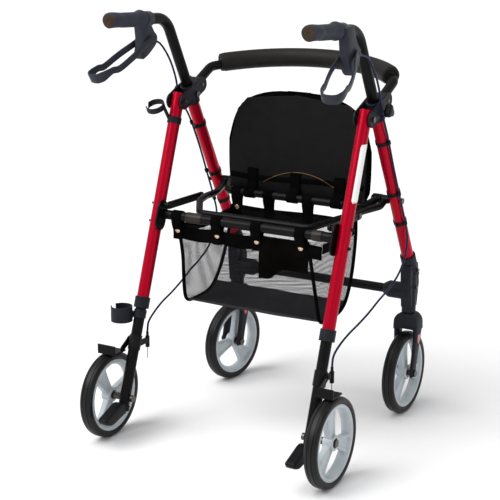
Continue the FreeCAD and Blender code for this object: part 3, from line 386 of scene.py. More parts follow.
def smooth_path(points, steps=8):
    """A smooth line through points (Catmull-Rom)."""
    points = [Vector(point) for point in points]
    ends = [points[0] * 2 - points[1], *points, points[-1] * 2 - points[-2]]
    line = []
    for a, b, c, d in zip(ends, ends[1:], ends[2:], ends[3:]):
        for step in range(steps):
            t = step / steps
            line.append(0.5 * (2 * b + (c - a) * t + (2 * a - 5 * b + 4 * c - d) * t * t
                               + (3 * b - a - 3 * c + d) * t ** 3))
    line.append(points[-1])
    return line


def tangents(line, closed=False):
    if closed:
        pairs = zip(line[-1:] + line[:-1], line[1:] + line[:1])
    else:
        pairs = zip(line[:1] + line[:-1], line[1:] + line[-1:])
    return [(after - before).normalized() for before, after in pairs]


def tube(name, line, radius, material, count=12):
    """A round tube along a line, without twist. The radius is in metres."""
    directions = tangents(line)
    first = across(directions[0])[0]
    rings = []
    for point, direction in zip(line, directions):
        first = (first - direction * first.dot(direction)).normalized()
        second = direction.cross(first)
        rings.append([
            point + (first * cos(turn) + second * sin(turn)) * radius
            for turn in (2 * pi * step / count for step in range(count))
        ])
    return loft(name, rings, material)


RIBBON_SECTION = ((1, -0.5), (1, 0.5), (0.9, 1), (-0.9, 1), (-1, 0.5), (-1, -0.5), (-0.9, -1), (0.9, -1))


def ribbon(name, line, width_axis, width, thickness, material, closed=False, widths=None):
    """A flat strip along a line, its width along width_axis, with rounded edges. Sizes are in metres."""
    width_axis = Vector(width_axis).normalized()
    rings = []
    for number, (point, direction) in enumerate(zip(line, tangents(line, closed))):
        across_line = width_axis - direction * width_axis.dot(direction)
        across_line.normalize()
        outward = direction.cross(across_line)
        half = (widths[number] if widths else width) / 2
        deep = thickness / 2
        ring = []
        for side, out in RIBBON_SECTION:
            reach = half if abs(side) == 1 else half - deep * 0.7
            ring.append(point + across_line * reach * (1 if side > 0 else -1) + outward * deep * out)
        rings.append(ring)
    return loft(name, rings, material, closed, not closed, radians(50))


def plate(name, outline, near, far, material, bevel, axis="x"):
    """A side-view outline of (forward, up), or a front-view one of (x, up), with depth and bevelled edges."""
    def place(pair, depth):
        return P(depth, *pair) if axis == "x" else P(pair[0], depth, pair[1])

    count = len(outline)
    points = [place(pair, near) for pair in outline] + [place(pair, far) for pair in outline]
    faces = [tuple(range(count)), tuple(range(count, 2 * count))]
    faces += [(n, (n + 1) % count, count + (n + 1) % count, count + n) for n in range(count)]
    thing = from_faces(name, points, faces, material)
    rounded(thing, bevel)
    return thing


def rounded(thing, width):
    """Bevel the sharp edges by a width in millimetres."""
    modifier = thing.modifiers.new("edges", "BEVEL")
    modifier.width = width / 1000
    modifier.segments = 3
    modifier.limit_method = "ANGLE"
    modifier.angle_limit = radians(30)
    bpy.context.view_layer.update()
    graph = bpy.context.evaluated_depsgraph_get()
    mesh = bpy.data.meshes.new_from_object(thing.evaluated_get(graph))
    thing.modifiers.clear()
    thing.data = mesh
    mesh.shade_smooth()
    mesh.set_sharp_from_angle(angle=SMOOTH_ANGLE)


def round_outline(corners, radius, steps=5):
    """A polygon with its corners rounded; radius is one number or one for each corner."""
    radii = radius if isinstance(radius, (list, tuple)) else [radius] * len(corners)
    points = [Vector((*corner, 0)) for corner in corners]
    out = []
    for before, corner, after, bend in zip(points[-1:] + points[:-1], points, points[1:] + points[:1], radii):
        inward = before - corner
        outward = after - corner
        reach = min(bend, inward.length * 0.48, outward.length * 0.48)
        start = corner + inward.normalized() * reach
        end = corner + outward.normalized() * reach
        for step in range(steps + 1):
            t = step / steps
            spot = start * (1 - t) ** 2 + corner * 2 * t * (1 - t) + end * t * t
            out.append((spot.x, spot.y))
    return out


def grid_faces(rows, columns):
    """The quads between rows + 1 lines of columns + 1 points."""
    wide = columns + 1
    return [(r * wide + c, r * wide + c + 1, (r + 1) * wide + c + 1, (r + 1) * wide + c)
            for r in range(rows) for c in range(columns)]


def join(name, things):
    """Several pieces as one object."""
    bpy.ops.object.select_all(action="DESELECT")
    for thing in things:
        thing.select_set(True)
    bpy.context.view_layer.objects.active = things[0]
    bpy.ops.object.join()
    things[0].name = name
    return things[0]


def moved(thing, name, matrix):
    """A copy under another placement. A mirrored one gets its faces turned back outwards."""
    mesh = thing.data.copy()
    mesh.transform(matrix)
    if matrix.determinant() < 0:
        mesh.flip_normals()
    copy = bpy.data.objects.new(name, mesh)
    bpy.context.scene.collection.objects.link(copy)
    return copy


MIRROR = Matrix.Scale(-1, 4, Vector((1, 0, 0)))
LEFT_STEM = P(-LEG, CASTER_STEM, 0)
LEFT_SWIVEL = Matrix.Rotation(radians(-8), 4, "Z")
LEFT_CASTER = Matrix.Translation(LEFT_STEM) @ LEFT_SWIVEL @ Matrix.Translation(-LEFT_STEM) @ MIRROR


def both_sides(thing, body, node, left=MIRROR):
    """The right-hand piece and its left-hand copy on their own bodies, each in place of its own CAD node."""
    name = thing.name
    twin = moved(thing, f"{name}_left", left)
    thing.name = f"{name}_right"
    for piece, side in ((thing, "right"), (twin, "left")):
        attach(piece, f"{body}_{side}")
        if node:
            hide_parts(f"{node}_{side}")
    return thing, twin


def pair_on(thing, body, *nodes):
    """A piece and its mirror image joined on one body."""
    name = thing.name
    twin = moved(thing, f"{name}_twin", MIRROR)
    whole = join(name, [thing, twin])
    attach(whole, body)
    if nodes:
        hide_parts(*nodes)
    return whole


# ---------------------------------------------------------------- wheels and casters



def both_halves(half, middle=()):
    """A symmetrical profile or section: its left half, the points between, and its right half."""
    return [(-along, out) for along, out in half] + list(middle) + half[::-1]


TYRE_PROFILE = both_halves(
    [(11, 84.1), (13.6, 85.2), (15, 88), (15, 92), (14.2, 95.4), (12.4, 97.6), (9, 99.2), (6.4, 99.8),
     (5.8, 98.6), (4.9, 98.6), (4.4, 99.95)], [(0, WHEEL_RADIUS)])
RIM_PROFILE = both_halves([(13, 84), (13.2, 80), (12.2, 76), (9, 74.4), (3, 70.6)])
HUB_PROFILE = both_halves([(12, 11.1), (12, 15.5), (11, 17)])
SPOKE_EDGE = both_halves([(1, -0.8), (0.86, -1), (0.6, -1), (0.5, -0.72)])
SPOKE_SECTION = SPOKE_EDGE + [(side, -deep) for side, deep in reversed(SPOKE_EDGE)]
SPOKE_STATIONS = ((14, 10, 8.5), (24, 11.5, 8.2), (44, 15, 7.8), (62, 18.5, 8.2), (73, 23, 9))


def wheel_pieces(prefix, centre, first_spoke):
    """Tyre and spoked rim about an axle along X. The first spoke's angle is in degrees, up from forwards."""
    x_axis = Vector((1, 0, 0))
    tyre = lathe(f"{prefix}_tread", centre, x_axis, TYRE_PROFILE, "tyre", 96, True)
    flange = lathe(f"{prefix}_ring", centre, x_axis, RIM_PROFILE, "wheel_plastic", 96, True)
    hub = lathe(f"{prefix}_hub", centre, x_axis, HUB_PROFILE, "wheel_plastic", 48, True)
    spokes = []
    for number in range(3):
        turn = radians(first_spoke + 120 * number)
        outward = Vector((0, cos(turn), sin(turn)))
        sideways = Vector((0, -sin(turn), cos(turn)))
        rings = [
            [centre + mm(outward * along + sideways * half * side + x_axis * thick * deep)
             for side, deep in SPOKE_SECTION]
            for along, half, thick in SPOKE_STATIONS
        ]
        spokes.append(loft(f"{prefix}_spoke{number}", rings, "wheel_plastic", angle=radians(25)))
    return tyre, join(f"{prefix}_wheel", [flange, hub] + spokes)


def place_wheel(prefix, side, centre, first_spoke, placement=None):
    """A wheel made on the right, and moved to its own place if it has one."""
    for piece, node in zip(wheel_pieces(f"{prefix}_{side}", centre, first_spoke), ("tyre", "rim")):
        if placement:
            copy = moved(piece, f"{piece.name}_placed", placement)
            bpy.data.objects.remove(piece)
            piece = copy
        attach(piece, f"{prefix}_wheel_{side}")
        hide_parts(f"{prefix}_{node}_{side}")


REAR_WHEEL = P(REAR_HUB, 0, WHEEL_RADIUS)
FRONT_WHEEL = P(LEG, FRONT_AXLE, WHEEL_RADIUS)
place_wheel("rear", "right", REAR_WHEEL, 100)
place_wheel("rear", "left", REAR_WHEEL, 125, MIRROR)
place_wheel("front", "right", FRONT_WHEEL, 105)
place_wheel("front", "left", FRONT_WHEEL, 70, LEFT_CASTER)
cap = lathe("axle_cap", P(REAR_HUB + 12.4, 0, WHEEL_RADIUS), (1, 0, 0),
            [(0, 9.5), (0.6, 9.8), (1.6, 8), (3, 6.8), (3.55, 6.2)], "black_plastic", 6)
pair_on(cap, "rear_frame")


def squared(value):
    """A sine or cosine pushed outwards, so that a circle turns into a rounded square."""
    return (abs(value) ** 0.55) * (1 if value > 0 else -1)


def fork():
    """Two flattened arms that sweep back from a domed crown."""
    # Forwards, up, half the depth, and the distances of the inner and outer faces from the wheel's middle.
    stations = [
        (503, 236, 15, 14.0, 26.0), (503, 222, 18, 18.3, 30.5), (502.5, 205, 17.5, 18.6, 31),
        (500, 180, 15.5, 18.6, 29.6), (495, 150, 13.5, 18.6, 28.6), (489, 122, 12.6, 18.6, 28),
        (485, 100, 12.5, 18.6, 28), (483.6, 91, 9.5, 19.4, 26.6),
    ]
    pieces = []
    for side in (-1, 1):
        rings = []
        for forward, up, half, low, high in stations:
            ring = []
            for turn in (2 * pi * step / 20 for step in range(20)):
                wide = (low + high) / 2 + (high - low) / 2 * squared(cos(turn))
                ring.append(P(LEG + side * wide, forward + half * squared(sin(turn)), up))
            rings.append(ring)
        pieces.append(loft(f"fork_arm{side}", rings, "casting", angle=radians(60)))
    crown = plate("fork_crown", round_outline([
        (LEG - 31, 204), (LEG - 30, 232), (LEG - 18, 246), (LEG + 18, 246), (LEG + 30, 232), (LEG + 31, 204),
        (LEG + 18, 208), (LEG - 18, 208)], [3, 16, 8, 8, 16, 3, 10, 10]), 484, 522, "casting", 6, "y")
    bosses = [
        lathe(f"fork_boss{side}", P(LEG + side * 27.9, FRONT_AXLE, WHEEL_RADIUS), (side, 0, 0),
              [(0, 8.6), (2.4, 8.6), (3.2, 7.6), (3.2, 5), (1.6, 4.6)], "black_plastic", 32)
        for side in (-1, 1)
    ]
    return join("fork_shape", pieces + [crown] + bosses)


both_sides(fork(), "caster", "caster_fork", LEFT_CASTER)

REFLECTOR_UP = 188
REFLECTOR_STRETCH = 2.6
for side, label in ((1, "outer"), (-1, "inner")):
    disc = lathe(f"reflector_{label}", P(LEG + side * 29.3, 500, REFLECTOR_UP), (side, 0, 0.02),
                 [(0, 6.4), (0.7, 6.2), (1.1, 5.2), (1.2, 0.5)], "reflector", 32)
    for vertex in disc.data.vertices:
        middle = REFLECTOR_UP / 1000
        vertex.co.z = middle + (vertex.co.z - middle) * REFLECTOR_STRETCH
    both_sides(disc, "caster", None, LEFT_CASTER)

# ---------------------------------------------------------------- backrest, grips, housings and levers


def arc_through(left, middle, right, steps):
    """Points on the circle through three points."""
    normal = (middle - left).cross(right - left).normalized()
    a, b = middle - left, right - left
    whole = a.cross(b)
    centre = left + (b.cross(whole) * -a.length_squared + a.cross(whole) * b.length_squared) / (
        -2 * whole.length_squared)
    start = left - centre
    total = start.angle(right - centre)
    spin = normal if start.cross(middle - centre).dot(normal) > 0 else -normal
    return [centre + Matrix.Rotation(total * step / steps, 3, spin) @ start for step in range(steps + 1)]


def backrest_pad():
    """A bowed foam roll with a lip at each end."""
    line = arc_through(P(-222, 395, 826.2), P(0, 493, 840), P(222, 395, 826.2), 48)
    directions = tangents(line)
    up = Vector((0, 0, 1))
    rings = []
    last = len(line) - 1
    for number, (point, direction) in enumerate(zip(line, directions)):
        side = direction.cross(up).normalized()
        top = side.cross(direction)
        edge = min(number, last - number)
        radius = 22.2 if edge > 0 else 20.6
        rings.append([point + mm((side * cos(turn) + top * sin(turn)) * radius)
                      for turn in (2 * pi * step / 32 for step in range(32))])
    pad = loft("backrest_foam", rings, "foam", capped=False)
    ends = []
    for point, heading in ((line[0], -directions[0]), (line[-1], directions[-1])):
        lip = [(0, 20.6), (0.9, 19.4), (0.9, 13.4), (-2, 11.3)]
        ends.append(lathe("foam_end", point, heading, lip, "foam", 32))
    return join("backrest_foam", [pad] + ends)


pad = backrest_pad()
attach(pad, "front_frame")
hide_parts("backrest_pad")

GRIP_END = P(LEG, -37, 960)
GRIP_AXIS = (on_front_leg(948) - GRIP_END).normalized()


def grip():
    """A moulded hand grip: palm wing at the outer end, finger ribs below, a ring before the clamp."""
    up = Vector((1, 0, 0)).cross(GRIP_AXIS).normalized()
    if up.z < 0:
        up = -up
    side = Vector((1, 0, 0))
    rings = []
    rib_start, rib_end = 44, 102
    # Along the grip, half the width, half the height, and how far the middle is lifted.
    shape = [
        (0.0, 14.8, 15.0, 0.0), (1.5, 16.4, 16.6, 0.0), (6, 16.8, 16.8, 0.6), (16, 17.0, 16.6, 0.9),
        (28, 16.8, 16.2, 0.6), (40, 16.2, 15.8, 0.2), (104, 16.2, 16.2, 0), (110, 18.5, 18.6, 0.5),
        (115, 19.6, 19.8, 0.8), (120, 19.2, 19.2, 0.5), (124, 17.2, 17.2, 0), (128, 15.8, 15.8, 0),
    ]
    stations = []
    for (a, *first), (b, *second) in zip(shape, shape[1:]):
        steps = max(1, int((b - a) / 1.6))
        for step in range(steps):
            t = step / steps
            stations.append([a + (b - a) * t] + [p + (q - p) * t for p, q in zip(first, second)])
    stations.append(list(shape[-1]))
    for along, wide, tall, lift in stations:
        rib = 0.75 * sin((along - rib_start) * 2 * pi / 9.5) if rib_start < along < rib_end else 0.0
        wing = 5.2 * max(0.0, 1 - abs(along - 20) / 26)
        ring = []
        for turn in (2 * pi * step / 40 for step in range(40)):
            c, s = cos(turn), sin(turn)
            under = max(0.0, -s)
            outward = wing * max(0.0, c * 0.9 + s * 0.35) ** 3 - wing * max(0.0, -c * 0.9 + s * 0.35) ** 3
            ring.append(GRIP_END + mm(GRIP_AXIS * along + side * ((wide + rib * under) * c + outward)
                                      + up * ((tall + rib * under) * s + lift)))
        rings.append(ring)
    body = loft("grip_shape", rings, "grip_rubber", angle=radians(60))
    end = lathe("grip_cap", GRIP_END, -GRIP_AXIS,
                [(-1, 14.9), (0.8, 14.4), (1.3, 13), (1.3, 3.0), (-1.5, 2.4)], "end_cap", 40)
    return join("grip_shape", [body, end])


both_sides(grip(), "handle", "grip")


def housing():
    """Clamp round the tube, a shield-shaped cover with a round boss, and the cable's outlet."""
    start = GRIP_END + GRIP_AXIS * 0.1288
    clamp = lathe("clamp", start, GRIP_AXIS, [(0, 15.4), (0.8, 17.4), (22, 17.2), (25, 15.6), (25.4, 12.7)],
                  "lever_plastic", 40)
    shell = round_outline([
        (88, 962), (120, 964), (124, 944), (139, 922), (152, 912), (150, 896), (138, 882), (121, 868),
        (106, 861), (96, 868), (94, 890), (94, 912), (91, 930)], [6, 6, 10, 14, 9, 9, 9, 8, 6, 6, 12, 16, 14])
    cover = plate("housing_cover", shell, LEVER - 11.5, LEVER + 11.5, "lever_plastic", 2.4)
    lean_below = 0.895
    for vertex in cover.data.vertices:
        vertex.co.x += 0.25 * max(0.0, lean_below - vertex.co.z)
    bosses = [
        lathe(f"housing_boss{side}", P(LEVER + side * 11.4, 121, 905), (side, 0, 0),
              [(0, 13), (0.9, 12.8), (1.2, 12), (0.5, 11.2), (0.8, 10.8), (0.9, 0.5)], "lever_plastic", 40)
        for side in (1, -1)
    ]
    spout = lathe("cable_spout", P(LEVER + 6.5, 142, 904.5), (0.12, 0.95, -0.3),
                  [(0, 5.4), (8, 5.0), (9, 4.4), (15, 4.2), (16, 3.0), (14, 2.5)], "lever_plastic", 24)
    return join("housing_shape", [clamp, cover, *bosses, spout])


both_sides(housing(), "handle", "brake_housing")


def lever():
    """A strip bent into a long loop, with a joggle before a broad flat tip."""
    pivot = P(LEVER, 119, 905)
    along = Vector((32, -139, -76)).normalized()
    sideways = Vector((-along.y, along.x, 0)).normalized()
    width_axis = along.cross(sideways)
    # Along the lever, to its side, and down from its plane.
    half = [(-6, 15.6, 0), (14, 17.0, 0), (34, 19.8, 0), (58, 23.8, 0), (84, 25.4, 0), (104, 25.4, 0),
            (118, 25, -1.5), (130, 24.5, -7), (144, 24.0, -9), (157, 21, -9), (166, 15, -9), (170, 7, -9)]
    outline = half + [(out, -aside, down) for out, aside, down in reversed(half)]
    points = [pivot + mm(along * out + sideways * aside - width_axis * down) for out, aside, down in outline]
    line = smooth_path(points, 5)
    total = len(line)
    strip, tip_extra = 14.5, 8.0
    widths = []
    for number in range(total):
        tip = max(0.0, 1 - abs(number - total / 2) / (total * 0.17))
        widths.append(0.001 * (strip + tip_extra * min(1.0, tip * 2.2)))
    return ribbon("lever_shape", line, width_axis, 0.013, 0.0042, "lever_plastic", widths=widths)


both_sides(lever(), "lever", "brake_lever")


def knob():
    """A three-lobed knob on the outer side of the leg."""
    forward = front_leg_forward(KNOB_UP)
    stations = ((264.6, 0.84), (265.6, 0.93), (267.5, 1.0), (275.5, 1.0), (277.6, 0.93), (278.6, 0.8))
    rings = []
    for along, scale in stations:
        ring = []
        for turn in (2 * pi * step / 60 for step in range(60)):
            radius = scale * (13.6 + 2.6 * cos(3 * (turn - pi / 2)))
            ring.append(P(along, forward + radius * cos(turn), KNOB_UP + radius * sin(turn)))
        rings.append(ring)
    return loft("knob_shape", rings, "black_plastic", angle=radians(50))


both_sides(knob(), "knob", "height_knob")

# ---------------------------------------------------------------- seat

SEAT_REAR = 366.0
SEAT_MIDDLE = 378.4
SEAT_EDGE = [(519, 158), (528, 163), (540, 177), (556, 184), (600, 186.5), (650, 186), (690, 176), (716, 165),
             (735, 152), (749, 133), (759, 110), (767, 80), (771, 47), (772.5, 0)]


def seat_half_width(up):
    """Half the seat's width at a height, from its lower edge to its crowned top."""
    for (low, first), (high, second) in zip(SEAT_EDGE, SEAT_EDGE[1:]):
        if low <= up <= high:
            return first + (second - first) * ((up - low) / (high - low))
    return 0.0


def seat_cover():
    """A cushion in a stitched cover: two puffed faces that meet at a piped seam, with slack folds."""
    heights = [520, 523, 528, 534, 540, 548, 556, 570, 590, 620, 650, 675, 695, 712, 724, 735, 743, 750, 756,
               761, 765, 768, 770.5, 772.0]
    right = [(seat_half_width(up), up) for up in heights] + [(30, 772.4)]
    bottom = [(x, 519.5) for x in (-130, -100, -65, -30, 0, 30, 65, 100, 130)]
    loop = right + [(0, 772.6)] + [(-x, up) for x, up in reversed(right)] + bottom
    middle_up = 640
    layers = 16
    points, faces = [], []
    count = len(loop)
    for face_side, (facing, depth) in enumerate(((-1, 11.4), (1, 13.2))):
        for layer in range(layers + 1):
            t = layer / layers
            swell = (1 - t ** 2.6) ** 0.5 if t < 1 else 0.0
            for edge_x, edge_up in loop:
                x = edge_x * t
                up = middle_up + (edge_up - middle_up) * t
                fold = 0.9 * sin(x / 23 + 1.3 * sin(up / 31)) * sin(up / 27 + 0.6) * (1 - t) ** 0.3
                dimple = 1.2 * sin(x / 61 + 2.0) * sin(up / 53)
                offset = swell * depth + (fold + dimple) * swell * 0.8
                points.append(P(x, SEAT_MIDDLE + facing * offset, up))
        base = face_side * (layers + 1) * count
        for layer in range(layers):
            for number in range(count):
                after = (number + 1) % count
                a = base + layer * count
                b = a + count
                faces.append((a + number, a + after, b + after, b + number))
    thing = from_faces("seat_cushion", points, faces, "polyester", radians(70))
    piping_line = [P(x, SEAT_MIDDLE, up) for x, up in loop]
    piping_line.append(piping_line[0])
    piping = tube("seat_piping", piping_line, 0.0024, "polyester", 8)
    return join("seat_cushion", [thing, piping])


cushion = seat_cover()
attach(cushion, "seat")
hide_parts("seat_cover")


def strap_loop(name, x, before, bar, radius, turns, after, width=0.025, thickness=0.0017):
    """Webbing along a few side-view points, round a bar and along a few more. The turns are in degrees."""
    around = [(bar[0] + radius * cos(radians(turn)), bar[1] + radius * sin(radians(turn))) for turn in turns]
    line = smooth_path([P(x, *spot) for spot in (*before, *around, *after)], 4)
    return ribbon(name, line, (1, 0, 0), width, thickness, "webbing")


def seat_straps():
    """Three webbing loops round the bar, stitched to the back of the seat, a hem and a curved brown line of
    painted highlight on the board's rib.
    """
    before = [(SEAT_REAR - 1.8, 586), (SEAT_REAR - 2.2, 566), (SEAT_REAR - 3, 546)]
    after = [(SEAT_REAR - 5.4, 546), (SEAT_REAR - 4.6, 566), (SEAT_REAR - 4.2, 584)]
    turns = range(20, -237, -32)
    loops = [
        strap_loop(f"seat_loop{x}", x, before, SEAT_BAR, 11.4, turns, after, 0.026, 0.0018)
        for x in (-115, 0, 115)
    ]
    hem = ribbon("seat_hem", [P(x, SEAT_REAR - 1.4, 567 + 3 * sin(x / 60)) for x in range(-176, 177, 8)],
                 (0, 0, 1), 0.012, 0.0016, "webbing")
    # The arc is a thin brown tube that paints the highlight on the board's arched rib.
    arc = [P(x, SEAT_REAR - 1.3, 587 - 0.0033 * (x - 12) ** 2) for x in range(-86, 112, 4)]
    rib_highlight = tube("seat_arc_highlight", arc, 0.0011, "painted_rib_highlight", 8)
    return join("seat_loops", loops + [hem, rib_highlight])


loops = seat_straps()
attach(loops, "seat")
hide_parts("seat_straps")

# ---------------------------------------------------------------- basket

SIDE_PROFILE = [
    (143.5, 488), (145, 440), (146.5, 390), (149, 345), (153, 318), (162, 304), (180, 298.5), (215, 298.5),
    (245, 300), (268, 306), (288, 320), (308, 346), (326, 382), (340, 424), (349, 462), (352, 494),
]
RIM_MIDDLE = (246, 470)
HALF = 174.0


def edge_at(side, forward, up):
    """Where the bag's seams run: the rear rim hangs a little to the left, the front rim is narrower."""
    if forward > 215:
        return side * (HALF - 9 * max(0.0, (up - 320) / 174))
    if side < 0:
        return -HALF - 13 * max(0.0, (up - 400) / 88) ** 1.6
    return HALF - 25 * max(0.0, (up - 318) / 170) ** 1.2


def with_uv(thing, mapping):
    """Flat coordinates in millimetres, for the netting's holes."""
    layer = thing.data.uv_layers.new(name="cloth")
    for corner in thing.data.loops:
        layer.data[corner.index].uv = mapping(thing.data.vertices[corner.vertex_index].co * 1000)
    return thing


def panel(name, line, material, sag):
    """A cloth panel between the two sides, following part of the side profile."""
    columns = 44
    rows = len(line)
    points = []
    for row, spot in enumerate(line):
        left, right = edge_at(-1, *spot), edge_at(1, *spot)
        for column in range(columns + 1):
            x = left + (right - left) * column / columns
            edge = 1 - (2 * column / columns - 1) ** 2
            drop = sag * edge * sin(pi * row / (rows - 1))
            ripple = 0.9 * sin(x / 19 + row * 0.4) * edge
            points.append(P(x, spot[0] + ripple * 0.6, spot[1] - drop * 4 + ripple * 0.3))
    return from_faces(name, points, grid_faces(rows - 1, columns), material, radians(80))


# The bag's outline from its rear rim to its front rim, and which of its points the floor starts and ends at.
profile = smooth_path([Vector((0, *spot)) for spot in SIDE_PROFILE], 4)
FLOOR_START, FLOOR_END = 18, 40
wall_parts = {
    "basket_rear_net": (profile[:FLOOR_START + 1], "mesh", 0.4),
    "basket_floor": (profile[FLOOR_START:FLOOR_END + 1], "floor_cloth", 1.0),
    "basket_front_net": (profile[FLOOR_END:], "mesh", 0.4),
}
basket_bits = []
for name, (line, material, sag) in wall_parts.items():
    cloth = panel(name, [(p.y, p.z) for p in line], material, sag)
    with_uv(cloth, lambda co: (co.x, co.z + co.y * 0.35))
    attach(cloth, "front_frame")
    basket_bits.append(cloth)
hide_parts("basket")


def side_net(x):
    """The U-shaped end panel, slightly bowed."""
    side, word = (1, "right") if x > 0 else (-1, "left")
    layers = 8
    points = []
    for layer in range(layers + 1):
        t = layer / layers
        bow = 2.1 * (1 - t * t)
        for _, forward, up in profile:
            spot = [middle + (edge - middle) * t for edge, middle in zip((forward, up), RIM_MIDDLE)]
            points.append(P(x + (edge_at(side, forward, up) - x) * t + side * bow, *spot))
    return from_faces(f"basket_end_{word}", points, grid_faces(layers, len(profile) - 1), "mesh", radians(80))


for x in (-HALF, HALF):
    end = side_net(x)
    with_uv(end, lambda co: (co.y, co.z))
    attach(end, "front_frame")
    basket_bits.append(end)

bindings = []
for side in (-1, 1):
    line = [P(edge_at(side, p.y, p.z), p.y, p.z) for p in profile]
    bindings.append(tube(f"binding{side}", line, 0.0042, "webbing", 10))
rear_band = [P(x, 142.2 + 0.8 * sin(x / 31), 471 - 5 * abs(sin((x + 187) / 108 * pi)))
             for x in range(-187, 188, 6)]
bindings.append(ribbon("rear_band", rear_band, (0, 0, 1), 0.031, 0.0022, "webbing"))
front_band = [P(x, 352.6, 482 + 1.5 * sin(x / 40)) for x in range(-165, 166, 6)]
bindings.append(ribbon("front_band", front_band, (0, 0, 1), 0.026, 0.0022, "webbing"))
for side in (-1, 1):
    line = []
    for forward in range(143, 353, 11):
        t = (forward - 143) / 209
        line.append(P(side * (187 - 22 * t), forward, 476 - 6 * sin(pi * t)))
    bindings.append(ribbon(f"end_band{side}", line, (0, 0, 1), 0.022, 0.002, "webbing"))
trim = join("basket_binding", bindings)
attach(trim, "front_frame")
basket_bits.append(trim)


def basket_flap():
    """A loose flap that hangs over the rear net, longer at its left."""
    rows, columns = 12, 20
    top, left_bottom, rise, width = 488, 391, 27, 125
    points = []
    for row in range(rows + 1):
        t = row / rows
        for column in range(columns + 1):
            s = column / columns
            lower = left_bottom + rise * min(1.0, max(0.0, (s - 0.22) / 0.25))
            forward = 139.6 - 2.0 * t - 1.5 * sin(s * 5 + t * 3) * t
            points.append(P(30 + width * s, forward, top + (lower - top) * t))
    return from_faces("basket_flap", points, grid_faces(rows, columns), "polyester", radians(80))


flap = basket_flap()
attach(flap, "front_frame")
basket_bits.append(flap)

for bit in basket_bits:
    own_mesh(bit)


def rear_straps():
    """Webbing that loops over the rear tube and closes on the basket's band with press studs."""
    before = [(138.6, 452), (138.8, 470), (132.5, 486)]
    after = [(146.5, 486), (145.5, 470)]
    turns = range(200, -18, -31)
    stud = [(0, 6.0), (0.8, 6.0), (1.5, 5.0), (1.1, 3.6), (1.7, 2.6), (2.0, 0.4)]
    parts = []
    for x in (-183.0, -78.0, 24.5, 135.0):
        parts.append(strap_loop(f"rear_loop{int(x)}", x, before, REAR_TUBE, 12.6, turns, after))
        parts.append(lathe(f"snap{int(x)}", P(x, 137.9, 473), (0, -1, 0), stud, "brass", 28))
    return join("rear_strap_loops", parts)


straps = rear_straps()
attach(straps, "rear_frame")
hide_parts("basket_rear_straps")


def front_straps():
    """Webbing that loops over the seat bar, with a stud on the left one."""
    before = [(350.8, 470), (350.4, 492), (344.5, 512)]
    after = [(356.5, 510), (354.6, 490)]
    parts = [
        strap_loop(f"front_loop{int(x)}", x, before, SEAT_BAR, 10.6, range(215, -17, -33), after)
        for x in (-150.0, -63.5, 40.7, 146.0)
    ]
    parts.append(lathe("front_snap", P(-150, 349.6, 489.6), (0, -1, 0),
                       [(0, 5.6), (0.8, 5.6), (1.4, 4.6), (1.0, 3.4), (1.6, 0.4)], "brass", 24))
    return join("front_strap_loops", parts)


straps = front_straps()
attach(straps, "front_frame")
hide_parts("basket_front_straps")

# ---------------------------------------------------------------- rear-leg fittings


def curb_lever():
    """The pedal behind the rear leg's foot."""
    corners = [(-14, 70), (-19, 94), (-36, 99), (-98, 76), (-92, 64), (-70, 56)]
    outline = round_outline(corners, [6, 10, 10, 7, 6, 14])
    return plate("pedal_shape", outline, LEG - 12, LEG + 12, "black_plastic", 3.5)


pedal = curb_lever()
sleeve = lathe("pedal_sleeve", on_rear_leg(73), REAR_UP, [(0, 12), (1, 14.4), (13, 14.4), (14, 13)],
               "black_plastic", 32)
pair_on(join("pedal_shape", [pedal, sleeve]), "rear_frame", "curb_levers")


def leg_wrap(name, low, high, first, last, radius, material):
    """A curved patch on the right rear leg, between two heights and two angles about the leg."""
    rows, columns = 24, 14
    points = []
    for row in range(rows + 1):
        t = row / rows
        corner = min(t, 1 - t) * (high - low)
        inset = 0.10 * max(0.0, 1 - corner / 4) ** 2
        for column in range(columns + 1):
            turn = radians(first + (last - first) * (inset + (1 - 2 * inset) * column / columns))
            middle = on_rear_leg(low + (high - low) * t)
            points.append(middle + mm((cos(turn), sin(turn), 0)) * radius)
    return from_faces(name, points, grid_faces(rows, columns), material, radians(80))


patch = join("blank_label", [
    leg_wrap("label_edge", 582, 703, -69, 36, 14.75, "label_edge"),
    leg_wrap("label", 584.5, 702, -63, 34, 14.95, "label"),
])
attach(patch, "rear_frame")

studs = [
    lathe(f"leg_stud{up}", P(LEG + 13.6, rear_leg_forward(up), up), (1, 0, 0),
          [(0, 4.6), (1.4, 4.4), (2.0, 3.0), (5.6, 2.6), (6.2, 1.4)], "black_plastic", 20)
    for up in (488, 527)
]
pair_on(join("leg_studs", studs), "rear_frame")

sleeves = [
    lathe(f"tube_sleeve{start}", P(start, *REAR_TUBE), (1, 0, 0),
          [(0, 11.1), (0.3, 12.0), (1.6, 12.2), (span - 1.6, 12.2), (span - 0.3, 12.0), (span, 11.1)],
          "sleeve", 40)
    for start, span in ((-158, 41), (164, 24))
]
wraps = join("tube_sleeves", sleeves)
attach(wraps, "rear_frame")


def bracket_rims():
    """Raised rims round both oblong plates of the right-hand bracket, and a rivet at the upper end."""
    low, high = Vector(BRACKET_LOW), Vector(BRACKET_HIGH)
    run = (high - low).normalized()
    lean = Vector((-run.y, run.x))
    outline = []
    for centre, start in ((high, -90), (low, 90)):
        for step in range(13):
            turn = radians(start + 15 * step)
            spot = centre + (run * cos(turn) + lean * sin(turn)) * 16.6
            outline.append((spot.x, spot.y))
    parts = []
    for x, side in ((LEG + 20.2, 1), (LEG - 20.2, -1)):
        line = [P(x, *spot) for spot in outline]
        parts.append(ribbon(f"plate_rim{side}", line, (1, 0, 0), 0.0014, 0.0022, "casting", closed=True))
        parts.append(lathe(f"plate_rivet{side}", P(x - side * 0.4, *BRACKET_HIGH), (side, 0, 0),
                           [(0, 4.6), (1.2, 4.4), (1.9, 3.0), (2.0, 0.4)], "steel", 24))
    return join("bracket_rims", parts)


pair_on(bracket_rims(), "front_frame")

# ---------------------------------------------------------------- cables

